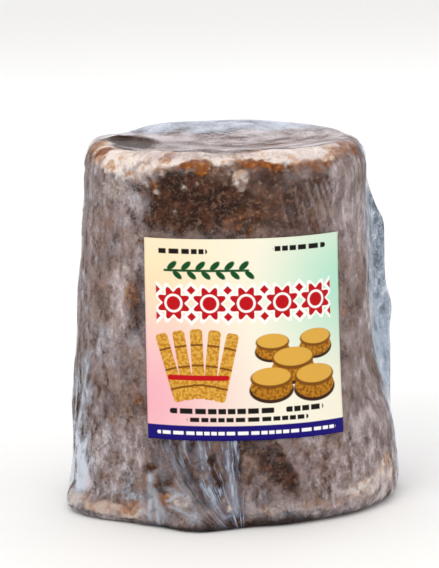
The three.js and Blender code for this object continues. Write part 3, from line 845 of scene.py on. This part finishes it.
fin_side = fin_side + FIN_WAVE * rumple(on_fin, (5, 5, 11), 24) * ease(outwards, 0.15, 0.7)
film_points[:, :FIN_COLUMNS, 0] += beyond * outwards**FIN_STRETCH
film_points[:, :FIN_COLUMNS, 1] += (AXIS_Y + fin_side - flat[..., 1]) * standing
fin_share = np.zeros(film_haze_and_sheen.shape)
fin_share[:, :FIN_COLUMNS] = ease(outwards, 0.0, 0.4) * standing
root = ease(np.abs(film_skin.across(0)) + 2.5 * film_skin.stray[0], *FIN_ROOT_WIDTH)
root = (1 - root) * standing
film_haze_and_sheen = film_haze_and_sheen + (FIN_ROOT_HAZE - film_haze_and_sheen) * root
fin_share = np.maximum(fin_share, FIN_ROOT_SHARE * root)
half_hidden = 4 * film_haze_and_sheen * (1 - film_haze_and_sheen)  # haze is most mottled where it hides about half
mottled = painted(film_skin, WALL_MOTTLED, TOP_MOTTLED, MOTTLED) * half_hidden

film_fields = {
    "haze_and_sheen": film_haze_and_sheen,
    "mottled": mottled,
    "streaky": streaky,
    "folds": crease_haze,
    "cool": film_cool,
    "top": film_skin.on_top,
    "top_ring": film_skin.top_ring,
    "top_turn": np.radians(film_skin.top_turn),
    "fan": in_fan,
    "strand": strand,
    "strand_run": strand_run,
    "fin": fin_share,
    "fin_pale": 1 - ease(film_skin.height, *FIN_PALING),
}
film = closed_mesh("film_bag", film_points, film_fields)

# Polypropylene film, cast thin and drawn tight by hand: clear, with a soft sheen and fine draw lines. It
# looks milky where it stands off the sugar, and blue-grey where it is gathered; the white on its creases,
# strands and fin is partly painted highlight, and the fin's dark crinkles are painted shade.
FILM_HAZE_COOL = linear("#c3c9d6")
FILM_HAZE_WARM = linear("#cbbcbd")
FILM_STRAND = linear("#747c90")
# Painted highlights on the gathered strands.
FILM_STRAND_HIGHLIGHT = linear("#b2bccd")
# Whitish blue on the creases: partly their haze and partly a painted highlight.
FILM_CREASE_HIGHLIGHT = linear("#c4ccda")
# The fin's blue-grey is partly painted: it stands for darker surroundings seen through its two plies.
FILM_FIN = linear("#798696")
FILM_FIN_PALE = linear("#abb9ca")
# Painted shade and painted highlights on the fin's crinkles.
FILM_FIN_SHADE = linear("#6d7580")
FILM_FIN_HIGHLIGHT = linear("#dce5f2")
DRAW_LINE_WIDTH = 1.8
DRAW_LINE_LENGTH = 8.0
DRAW_LINE_LEAN = math.radians(-12)
TOP_LINE_DEPTH = 6.5
TOP_LINE_TURN = 0.8  # in radians
CLING_SIZE = 3.6
CRINKLE_SIZE = 2.2
CRINKLE_RIDGE = 0.035  # how far from its middle value the crinkle noise still makes a ridge of painted highlight
FIN_STREAK_SIZE = 1.5
CLING_SQUEEZE, CRINKLE_SQUEEZE, FIN_STREAK_SQUEEZE = 0.75, 0.55, 0.14  # under 1, drawn out upright
FIN_STREAKED = 0.5  # how far the pale fin is streaked rather than crinkled
FIN_LIGHTER = 0.03
FIN_HIDES = 0.85
MOST_HIDDEN = 0.96
PRICK_SIZE = 0.8  # where single crystals touch the film
PRICK_SHARE = 0.35
TINT_SIZE = 9.0
TINT_SHARE = 0.8

film_sheet = bpy.data.materials.new("polypropylene_film_drawn")
film_sheet.use_nodes = True
tree = film_sheet.node_tree
here = add("TexCoord", {}, "Object")
haze_and_sheen, mottled, streaky, folds, cool, top, top_ring, top_turn = (
    add("Attribute", {}, "Fac", attribute_name=name)
    for name in ("haze_and_sheen", "mottled", "streaky", "folds", "cool", "top", "top_ring", "top_turn")
)
in_fan, strand, strand_run, fin_mask, fin_pale = (
    add("Attribute", {}, "Fac", attribute_name=name)
    for name in ("fan", "strand", "strand_run", "fin", "fin_pale")
)
lean = (0, DRAW_LINE_LEAN, 0)
stretch = (1, 1, DRAW_LINE_LENGTH / DRAW_LINE_WIDTH)
upright = add("Mapping", {"Vector": here, "Rotation": lean, "Scale": stretch}, vector_type="TEXTURE")
wall_lines = add(
    "TexNoise", {"Vector": upright, "Scale": per_metre(DRAW_LINE_WIDTH), "Detail": 2.0, "Roughness": 0.4}
)
rings = add("CombineXYZ", {"X": top_ring, "Y": top_turn})
rings = add("Mapping", {"Vector": rings, "Scale": (1 / TOP_LINE_DEPTH, 1 / TOP_LINE_TURN, 1)})
top_lines = add("TexNoise", {"Vector": rings, "Scale": 1.0, "Detail": 4.0, "Roughness": 0.55})
# Thin bright lines along the draw lines: a painted highlight, laid in as haze.
crisp = steepened(wall_lines, 0.55, 0.72, to_max=0.3)
wall_lines = add("Math ADD", [wall_lines, crisp])
lines = add("Mix", {0: top, 2: wall_lines, 3: top_lines})
strands = add("CombineXYZ", {"X": strand, "Y": strand_run})
strands = add("TexNoise", {"Vector": strands, "Scale": 1.0, "Detail": 4.0, "Roughness": 0.62})
clinging = add("Mapping", {"Vector": here, "Scale": (1, 1, CLING_SQUEEZE)})
cling = add(
    "TexNoise", {"Vector": clinging, "Scale": per_metre(CLING_SIZE), "Detail": 4.0, "Roughness": 0.62}
)
pricks = add("TexNoise", {"Vector": here, "Scale": per_metre(PRICK_SIZE), "Detail": 2.0})
tint = add("TexNoise", {"Vector": here, "Scale": per_metre(TINT_SIZE), "Detail": 3.0})
tinted = add("Math MULTIPLY_ADD", [tint, TINT_SHARE, cool])
crinkled = add("Mapping", {"Vector": here, "Scale": (1, 1, CRINKLE_SQUEEZE)})
crinkle_look = {"Detail": 5.0, "Roughness": 0.64, "Distortion": 0.3}
crinkle = add("TexNoise", {"Vector": crinkled, "Scale": per_metre(CRINKLE_SIZE), **crinkle_look})
fin_streaks = add("Mapping", {"Vector": here, "Scale": (1, 1, FIN_STREAK_SQUEEZE)})
fin_streaks = {"Vector": fin_streaks, "Scale": per_metre(FIN_STREAK_SIZE), "Detail": 3.0, "Roughness": 0.6}
fin_streaks = add("TexNoise", fin_streaks)
crinkle = add("Mix", {0: multiplied(fin_pale, FIN_STREAKED), 2: crinkle, 3: fin_streaks})
fin_light = add("Math MULTIPLY_ADD", [fin_pale, FIN_LIGHTER, crinkle])
# Painted highlights along the crinkles' ridges, and painted shade in their low places.
highlight_ridge = add("Math SUBTRACT", [crinkle, 0.5])
highlight_ridge = add("Math ABSOLUTE", [highlight_ridge])
highlight_ridge = steepened(highlight_ridge, CRINKLE_RIDGE, 0.0, to_max=0.55)
fin_highlight = steepened(fin_light, 0.53, 0.62, to_max=0.95)
fin_highlight = multiplied(fin_mask, add("Math MAXIMUM", [highlight_ridge, fin_highlight]))
fin_shade = multiplied(fin_mask, steepened(fin_light, 0.49, 0.37))
# painted highlights on the strands
strand_highlight = multiplied(in_fan, steepened(strands, 0.5, 0.66))
colour = layered(
    FILM_HAZE_WARM,
    [
        (steepened(tinted, 0.65, 1.15), FILM_HAZE_COOL),
        (in_fan, FILM_STRAND),
        (strand_highlight, FILM_STRAND_HIGHLIGHT),
        (steepened(folds, 0.3, 0.85), FILM_CREASE_HIGHLIGHT),
        (fin_mask, FILM_FIN),
        (multiplied(fin_mask, fin_pale), FILM_FIN_PALE),
        (fin_shade, FILM_FIN_SHADE),
        (fin_highlight, FILM_FIN_HIGHLIGHT),
    ],
)
texture = add("Mix", {0: streaky, 2: cling, 3: lines})
texture = add("Math MULTIPLY_ADD", [pricks, PRICK_SHARE, texture])
texture = add("Math SUBTRACT", [texture, 0.5 * (1 + PRICK_SHARE)])
hidden = add("Math MULTIPLY_ADD", [texture, mottled, haze_and_sheen])
folds_hidden = multiplied(folds, steepened(cling, 0.36, 0.6, to_min=0.55, to_max=1.15))
strands_hidden = multiplied(in_fan, steepened(strands, 0.44, 0.63, to_min=0.02, to_max=0.8))
for share in (folds_hidden, strands_hidden, multiplied(fin_mask, FIN_HIDES)):
    hidden = add("Math MAXIMUM", [hidden, share])
hidden = add("MapRange", {"Value": hidden, "To Min": 0.0, "To Max": MOST_HIDDEN})
draw_bump = add("Bump", {"Height": lines, "Strength": 0.15, "Distance": 0.25 * MM})
film_look = {"IOR": 1.49, "Roughness": 0.34, "Specular IOR Level": 0.16, "Base Color": colour}
fill(tree.nodes["Principled BSDF"], {**film_look, "Alpha": hidden, "Normal": draw_bump})
film.data.materials.append(film_sheet)

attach(film, "root")
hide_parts("bagged_lump")

# ----------------------------------------
# The paper label. A square of coated paper, printed in bright process colours and stuck to the outside of
# the film, so that it bends round the wall and stands a little off it, with a slight wave.
# ----------------------------------------

LABEL_CELLS = 72
LABEL_LIFT = 0.34  # from the bag's outside to the paper's back
PAPER_THICKNESS = 0.2
PAPER_WAVE = 0.12
PAPER_BRIDGING = 12  # how many times its shape is evened out, so that it bridges the solid's facets

tree_of_bag = ray_tree(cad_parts["bagged_lump"])


def wall_radius(bearing, height):
    """The bag's radius at a bearing in radians and a height."""
    start = Vector((0, AXIS_Y * MM, height * MM))
    return tree_of_bag.ray_cast(start, Vector((math.cos(bearing), math.sin(bearing), 0)))[3] / MM


def label_grid():
    """Points on the wall under the label, by row and column, and the bearing of each."""
    tilt = math.radians(LABEL_TILT)
    middle = math.radians(LABEL_BEARING)
    spots = np.zeros((LABEL_CELLS + 1, LABEL_CELLS + 1, 3))
    for i in range(LABEL_CELLS + 1):
        for j in range(LABEL_CELLS + 1):
            flat_x = (j / LABEL_CELLS - 0.5) * LABEL_WIDTH
            flat_y = (i / LABEL_CELLS - 0.5) * LABEL_HEIGHT
            height = LABEL_MIDDLE + flat_x * math.sin(tilt) + flat_y * math.cos(tilt)
            run = flat_x * math.cos(tilt) - flat_y * math.sin(tilt)
            bearing = middle + run / wall_radius(middle, height)
            spots[i, j] = bearing, height, wall_radius(bearing, height)
    bearing, height, radius = spots[..., 0], spots[..., 1], spots[..., 2]
    for _ in range(PAPER_BRIDGING):
        inner = radius[1:-1, 1:-1]
        radius[1:-1, 1:-1] = 0.5 * inner + 0.125 * (
            radius[:-2, 1:-1] + radius[2:, 1:-1] + radius[1:-1, :-2] + radius[1:-1, 2:]
        )
    place = np.stack([radius * np.cos(bearing), radius * np.sin(bearing), height], axis=-1)
    return bearing, height, radius + heaped(place, [(13, PAPER_WAVE, 31), (5, 0.4 * PAPER_WAVE, 32)])


def label_mesh():
    bearing, height, radius = label_grid()
    layers = []
    for lift in (LABEL_LIFT, LABEL_LIFT + PAPER_THICKNESS):
        out = radius + lift
        layers.append(np.stack([out * np.cos(bearing), out * np.sin(bearing) + AXIS_Y, height], -1))
    spots = np.concatenate([layer.reshape(-1, 3) for layer in layers])
    side = LABEL_CELLS + 1
    back = np.arange(side * side).reshape(side, side)
    face = back + side * side
    quads = [
        np.stack([back[:-1, :-1], back[1:, :-1], back[1:, 1:], back[:-1, 1:]], -1).reshape(-1, 4),
        np.stack([face[:-1, :-1], face[:-1, 1:], face[1:, 1:], face[1:, :-1]], -1).reshape(-1, 4),
        np.stack([back[0, :-1], back[0, 1:], face[0, 1:], face[0, :-1]], -1),
        np.stack([back[-1, 1:], back[-1, :-1], face[-1, :-1], face[-1, 1:]], -1),
        np.stack([back[1:, 0], back[:-1, 0], face[:-1, 0], face[1:, 0]], -1),
        np.stack([back[:-1, -1], back[1:, -1], face[1:, -1], face[:-1, -1]], -1),
    ]
    mesh = smooth_mesh("paper_label_print", spots, np.concatenate(quads).tolist())
    share = np.arange(side) / LABEL_CELLS
    flat = np.tile(np.stack(np.meshgrid(share, share), -1).reshape(-1, 2), (2, 1))
    loops = np.zeros(len(mesh.loops), np.int32)
    mesh.loops.foreach_get("vertex_index", loops)
    mesh.uv_layers.new(name="print").data.foreach_set("uv", flat[loops].astype(np.float32).ravel())
    return shown("paper_label_print", mesh)


label = label_mesh()

# Coated paper, printed offset: flat bright inks with crisp edges under a faint sheen. The print is ornaments
# and plain bars. Places on it are millimetres from its lower left corner.
PAPER_CREAM = linear("#f0ead6")
PAPER_PEACH = linear("#f3dcb4")
PAPER_PINK = linear("#edaeb9")
PAPER_MINT = linear("#b2dfc8")
INK_NAVY = linear("#14046e")
INK_RED = linear("#b80512")
INK_GREEN = linear("#06481f")
INK_BLACK = linear("#120e0c")
INK_GOLD = linear("#b97a17")
INK_GOLD_LIGHT = linear("#d8a544")
INK_GOLD_DARK = linear("#7c4a0c")
INK_SHADE = linear("#3a2013")
INK_WHITE = linear("#f6f3ee")
NAVY_BAND = 4.3
EDGE_SOFTNESS = 0.14

coated_paper = bpy.data.materials.new("coated_paper_printed")
coated_paper.use_nodes = True
tree = coated_paper.node_tree
spot = add("UVMap", {}, uv_map="print")
spot = add("Mapping", {"Vector": spot, "Scale": (LABEL_WIDTH, LABEL_HEIGHT, 1)})
spot_x = add("SeparateXYZ", {0: spot}, "X")
spot_y = add("SeparateXYZ", {0: spot}, "Y")


def any_of(masks):
    """The union of some masks."""
    joined = masks[0]
    for mask in masks[1:]:
        joined = add("Math MAXIMUM", [joined, mask])
    return joined


def inside(distance, edge, softness=EDGE_SOFTNESS):
    """1 where a distance is under its edge."""
    return steepened(distance, edge - softness, edge + softness, to_min=1.0, to_max=0.0)


def placed(x, y, turn=0.0):
    """Places on the print as seen from x, y, turned by some degrees."""
    moved = add("VectorMath SUBTRACT", [spot, (x, y, 0)])
    if not turn:
        return moved
    angle = -math.radians(turn)
    return add("VectorRotate", {"Vector": moved, "Angle": angle}, rotation_type="Z_AXIS")


def bar(x, y, width, height, corner, turn=0.0):
    """A mask for a bar with rounded corners, by its middle."""
    folded = add("VectorMath ABSOLUTE", [placed(x, y, turn)])
    core = (width / 2 - corner, height / 2 - corner, 0)
    past = add("VectorMath SUBTRACT", [folded, core])
    past = add("VectorMath MAXIMUM", [past, (0, 0, 0)])
    return inside(add("VectorMath LENGTH", [past], "Value"), corner)


def oval(x, y, width, height, turn=0.0):
    """A mask for an ellipse, by its middle."""
    scale = (2 / width, 2 / height, 0)
    squared = add("VectorMath MULTIPLY", [placed(x, y, turn), scale])
    distance = add("VectorMath LENGTH", [squared], "Value")
    return inside(distance, 1, 2 * EDGE_SOFTNESS / min(width, height))


def wash(x, y, reach):
    """A mask for a wide soft field of ink round a place."""
    distance = add("VectorMath DISTANCE", [spot, (x, y, 0)], "Value")
    return steepened(distance, 0.0, reach, to_min=1.0, to_max=0.0)


def dashes(start, end, y, height, pitch):
    """A mask for a line of dashes that stand in for fine print. Some gaps are wider than the rest."""
    uneven = add("Math ADD", [spot_x, add("Math SINE", [multiplied(spot_x, 0.9 / pitch)])])
    gap = add("Math ABSOLUTE", [add("Math WRAP", [uneven, pitch / 2, -pitch / 2])])
    line = bar((start + end) / 2, y, end - start, height, 0.5 * height)
    return multiplied(line, add("Math SUBTRACT", [1.0, inside(gap, 0.3, 0.15)]))


# The heading is a row of rosettes with lozenges between them.
ROSETTES = (30, 40.2)
ROSETTE_PITCH = 10.6
ROSETTE_COUNT = 5
ROSETTE_RADIUS = 5.0
PETALS = 8
PETAL_DEPTH = 0.17
HEART_RADIUS = 1.5
LOZENGE_SIZE = 1.3
LOZENGE_RISE = 3.9  # how far above and below the row's middle the lozenges stand
HALO = 0.9

in_cell = placed(*ROSETTES)
cell_x = add("SeparateXYZ", {0: in_cell}, "X")
cell_y = add("SeparateXYZ", {0: in_cell}, "Y")
half_row = ROSETTE_PITCH * ROSETTE_COUNT / 2
row = bar(*ROSETTES, 2 * half_row, 14, 1)
turn_x = add("Math WRAP", [cell_x, ROSETTE_PITCH / 2, -ROSETTE_PITCH / 2])
angle = add("Math ARCTAN2", [cell_y, turn_x])
out = add("Math SQRT", [add("Math ADD", [multiplied(turn_x, turn_x), multiplied(cell_y, cell_y)])])
wave = add("Math COSINE", [multiplied(angle, float(PETALS))])
petal_edge = add("Math DIVIDE", [out, add("Math MULTIPLY_ADD", [wave, -PETAL_DEPTH, 1 - PETAL_DEPTH])])
ring = add("Math ABSOLUTE", [add("Math SUBTRACT", [out, HEART_RADIUS + 0.9])])
between = add("Math ADD", [cell_x, ROSETTE_PITCH / 2])
between = add("Math WRAP", [between, ROSETTE_PITCH / 2, -ROSETTE_PITCH / 2])
flank = add("Math SUBTRACT", [add("Math ABSOLUTE", [cell_y]), LOZENGE_RISE])
lozenge = add("Math ADD", [add("Math ABSOLUTE", [between]), add("Math ABSOLUTE", [flank])])
petals = multiplied(inside(petal_edge, ROSETTE_RADIUS), row)
hearts = multiplied(inside(ring, 0.35), row)
lozenges = multiplied(inside(lozenge, LOZENGE_SIZE), row)
petal_halo = inside(petal_edge, ROSETTE_RADIUS + 1.3 * HALO, 0.3)
lozenge_halo = inside(lozenge, LOZENGE_SIZE + 1.4 * HALO, 0.3)
halo = multiplied(any_of([petal_halo, lozenge_halo]), row)

# A vine runs above the heading: a stem with leaves on both sides.
VINE_START, VINE_END, VINE_HEIGHT = 6, 31, 49.8
LEAF_PITCH = 4.2
leaf_places = [VINE_START + 1.5 + i * LEAF_PITCH for i in range(6)]
vine = any_of(
    [bar((VINE_START + VINE_END) / 2, VINE_HEIGHT, VINE_END - VINE_START, 0.7, 0.3)]
    + [oval(x + 1.0, VINE_HEIGHT + 1.4, 3.6, 1.7, 42) for x in leaf_places]
    + [oval(x + 2.6, VINE_HEIGHT - 1.3, 3.4, 1.6, -42) for x in leaf_places]
)

# Under it stand a sheaf of cut cane and a heap of round cakes: x, y and turn, or x, y and width.
STALKS = [(7.5, 21.2, 16), (11.5, 22, 9), (15.6, 22.5, 2), (19.7, 22.2, -6), (23.8, 21.4, -13)]
STALK_SIZE = (3.6, 20.5)
CAKES = [(37, 18, 12.5), (50.5, 18, 13), (43.7, 23.5, 13), (51, 29, 10.5), (37.5, 28.5, 10)]
stalks = any_of([bar(x, y, *STALK_SIZE, 1.1, turn) for x, y, turn in STALKS])
joints = any_of(
    [
        bar(x - math.sin(math.radians(turn)) * up, y + math.cos(math.radians(turn)) * up, 3.6, 0.6, 0.2, turn)
        for x, y, turn in STALKS
        for up in (-6.2, -0.4, 5.6)
    ]
)
tie = bar(15.6, 18.4, 18, 1.5, 0.6)
screen = add("TexNoise", {"Vector": spot, "Scale": 1.1, "Detail": 3.0})
cake_tone = layered(INK_GOLD, [(steepened(screen, 0.4, 0.66), INK_GOLD_DARK)])
cane_tone = layered(INK_GOLD, [(steepened(screen, 0.38, 0.6), INK_GOLD_LIGHT)])
cakes = []
for x, y, width in reversed(CAKES):
    cakes.append((oval(x, y - 0.28 * width, width * 1.06, 0.62 * width), INK_SHADE))
    cakes.append((oval(x, y - 0.2 * width, width, 0.62 * width), cake_tone))
    cakes.append((oval(x, y, width, 0.5 * width), INK_GOLD_DARK))
    cakes.append((oval(x, y + 0.04 * width, 0.92 * width, 0.42 * width), INK_GOLD_LIGHT))

ground = layered(
    PAPER_CREAM,
    [(wash(2, 46, 36), PAPER_PEACH), (wash(60, 44, 34), PAPER_MINT), (wash(0, 12, 42), PAPER_PINK)],
)
dark = any_of(
    [
        dashes(4, 19, 55.4, 1.5, 2.6),
        dashes(38, 55, 55.8, 1.5, 2.9),
        dashes(7, 38, 8.6, 1.6, 3.4),
        dashes(41, 53, 8.6, 1.6, 3.1),
        dashes(12, 48, 6.1, 1.3, 3.0),
    ]
)
print_colour = layered(
    ground,
    [
        (halo, INK_WHITE),
        (petals, INK_RED),
        (hearts, INK_WHITE),
        (lozenges, INK_RED),
        (vine, INK_GREEN),
        (dark, INK_BLACK),
        (stalks, cane_tone),
        (joints, INK_GOLD_DARK),
        (tie, INK_RED),
        *cakes,
        (inside(spot_y, NAVY_BAND), INK_NAVY),
        (dashes(3, 57, 2.15, 1.0, 2.7), INK_WHITE),
    ],
)
fibres = add("TexNoise", {"Vector": spot, "Scale": 3.0, "Detail": 2.0})
paper_bump = add("Bump", {"Height": fibres, "Strength": 0.15, "Distance": 0.05 * MM})
print_look = {"IOR": 1.5, "Roughness": 0.5, "Specular IOR Level": 0.12, "Base Color": print_colour}
fill(tree.nodes["Principled BSDF"], {**print_look, "Normal": paper_bump})
label.data.materials.append(coated_paper)

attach(label, "root")
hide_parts("paper_label")

# ----------------------------------------
# The studio. The lump stands on a wide pale floor under soft light: a broad key from the front left and
# above, a wide fill from the right, and a light behind that brightens the top of the bag.
# ----------------------------------------

FLOOR_HALF = 4.0
AIM = Vector((-0.09, AXIS_Y, 54.5)) * MM  # the place that the camera was set up on
AIM_DISTANCE = 1.0
CAMERA_RISE = math.radians(10.2)
CAMERA_ROLL = math.radians(1.5)
FRAME_SIZE = (439, 568)
FOCAL_PIXELS = 3269
AIM_PIXEL = (228.9, 316.4)
SENSOR = 36.0

floor_mesh = bpy.data.meshes.new("floor")
corners = [(x * FLOOR_HALF, y * FLOOR_HALF, 0) for x, y in ((-1, -1), (1, -1), (1, 1), (-1, 1))]
floor_mesh.from_pydata(corners, [], [(0, 1, 2, 3)])
floor = shown("floor", floor_mesh)
pale_card = bpy.data.materials.new("pale_card")
pale_card.use_nodes = True
card_look = {"Base Color": linear("#f6f5f3"), "Roughness": 0.9, "Specular IOR Level": 0.1}
fill(pale_card.node_tree.nodes["Principled BSDF"], card_look)
floor_mesh.materials.append(pale_card)

sky = bpy.data.worlds.new("soft_white")
sky.use_nodes = True
fill(sky.node_tree.nodes["Background"], {"Color": (1, 1, 1, 1), "Strength": 0.95})
bpy.context.scene.world = sky

# Each light: name, place, what it points at, width, height, power and colour.
LIGHTS = [
    ("key", (-0.55, -0.9, 0.95), (0, 0, 0.06), 0.6, 0.6, 4.0, "#fffaf4"),
    ("fill", (1.0, -0.6, 0.5), (0, 0, 0.05), 0.9, 0.9, 1.0, "#f4f7ff"),
    ("back", (0.1, 1.0, 0.9), (0, 0, 0.1), 1.0, 0.6, 3.0, "#eef3ff"),
]
for name, place, target, width, height, power, tone in LIGHTS:
    lamp = bpy.data.lights.new(name, "AREA")
    lamp.shape = "RECTANGLE"
    lamp.size, lamp.size_y = width, height
    lamp.energy = power
    lamp.color = linear(tone)[:3]
    light = shown(name, lamp)
    light.location = place
    light.rotation_euler = (Vector(target) - Vector(place)).to_track_quat("-Z", "Y").to_euler()

# The camera looks along +Y and down a little, and is rolled. The aim doesn't fall in the middle of the frame,
# so the camera turns to bring it where it belongs.
ahead = Vector((0, math.cos(CAMERA_RISE), -math.sin(CAMERA_RISE)))
sideways = Vector((1, 0, 0))
down = ahead.cross(sideways)
frame_right = sideways * math.cos(CAMERA_ROLL) + down * math.sin(CAMERA_ROLL)
frame_down = down * math.cos(CAMERA_ROLL) - sideways * math.sin(CAMERA_ROLL)
off_x = (AIM_PIXEL[0] - FRAME_SIZE[0] / 2) / FOCAL_PIXELS
off_y = (AIM_PIXEL[1] - FRAME_SIZE[1] / 2) / FOCAL_PIXELS
look = (ahead - off_x * frame_right - off_y * frame_down).normalized()
right = (frame_right - look * frame_right.dot(look)).normalized()
lens = bpy.data.cameras.new("camera")
lens.lens = FOCAL_PIXELS * SENSOR / FRAME_SIZE[1]
lens.sensor_width = SENSOR
lens.clip_end = 20
camera = shown("camera", lens)
turned = Matrix((right, look.cross(right) * -1, -look)).transposed()
camera.matrix_world = Matrix.Translation(AIM - ahead * AIM_DISTANCE) @ turned.to_4x4()
bpy.context.scene.camera = camera
bpy.context.scene.view_settings.view_transform = "Standard"
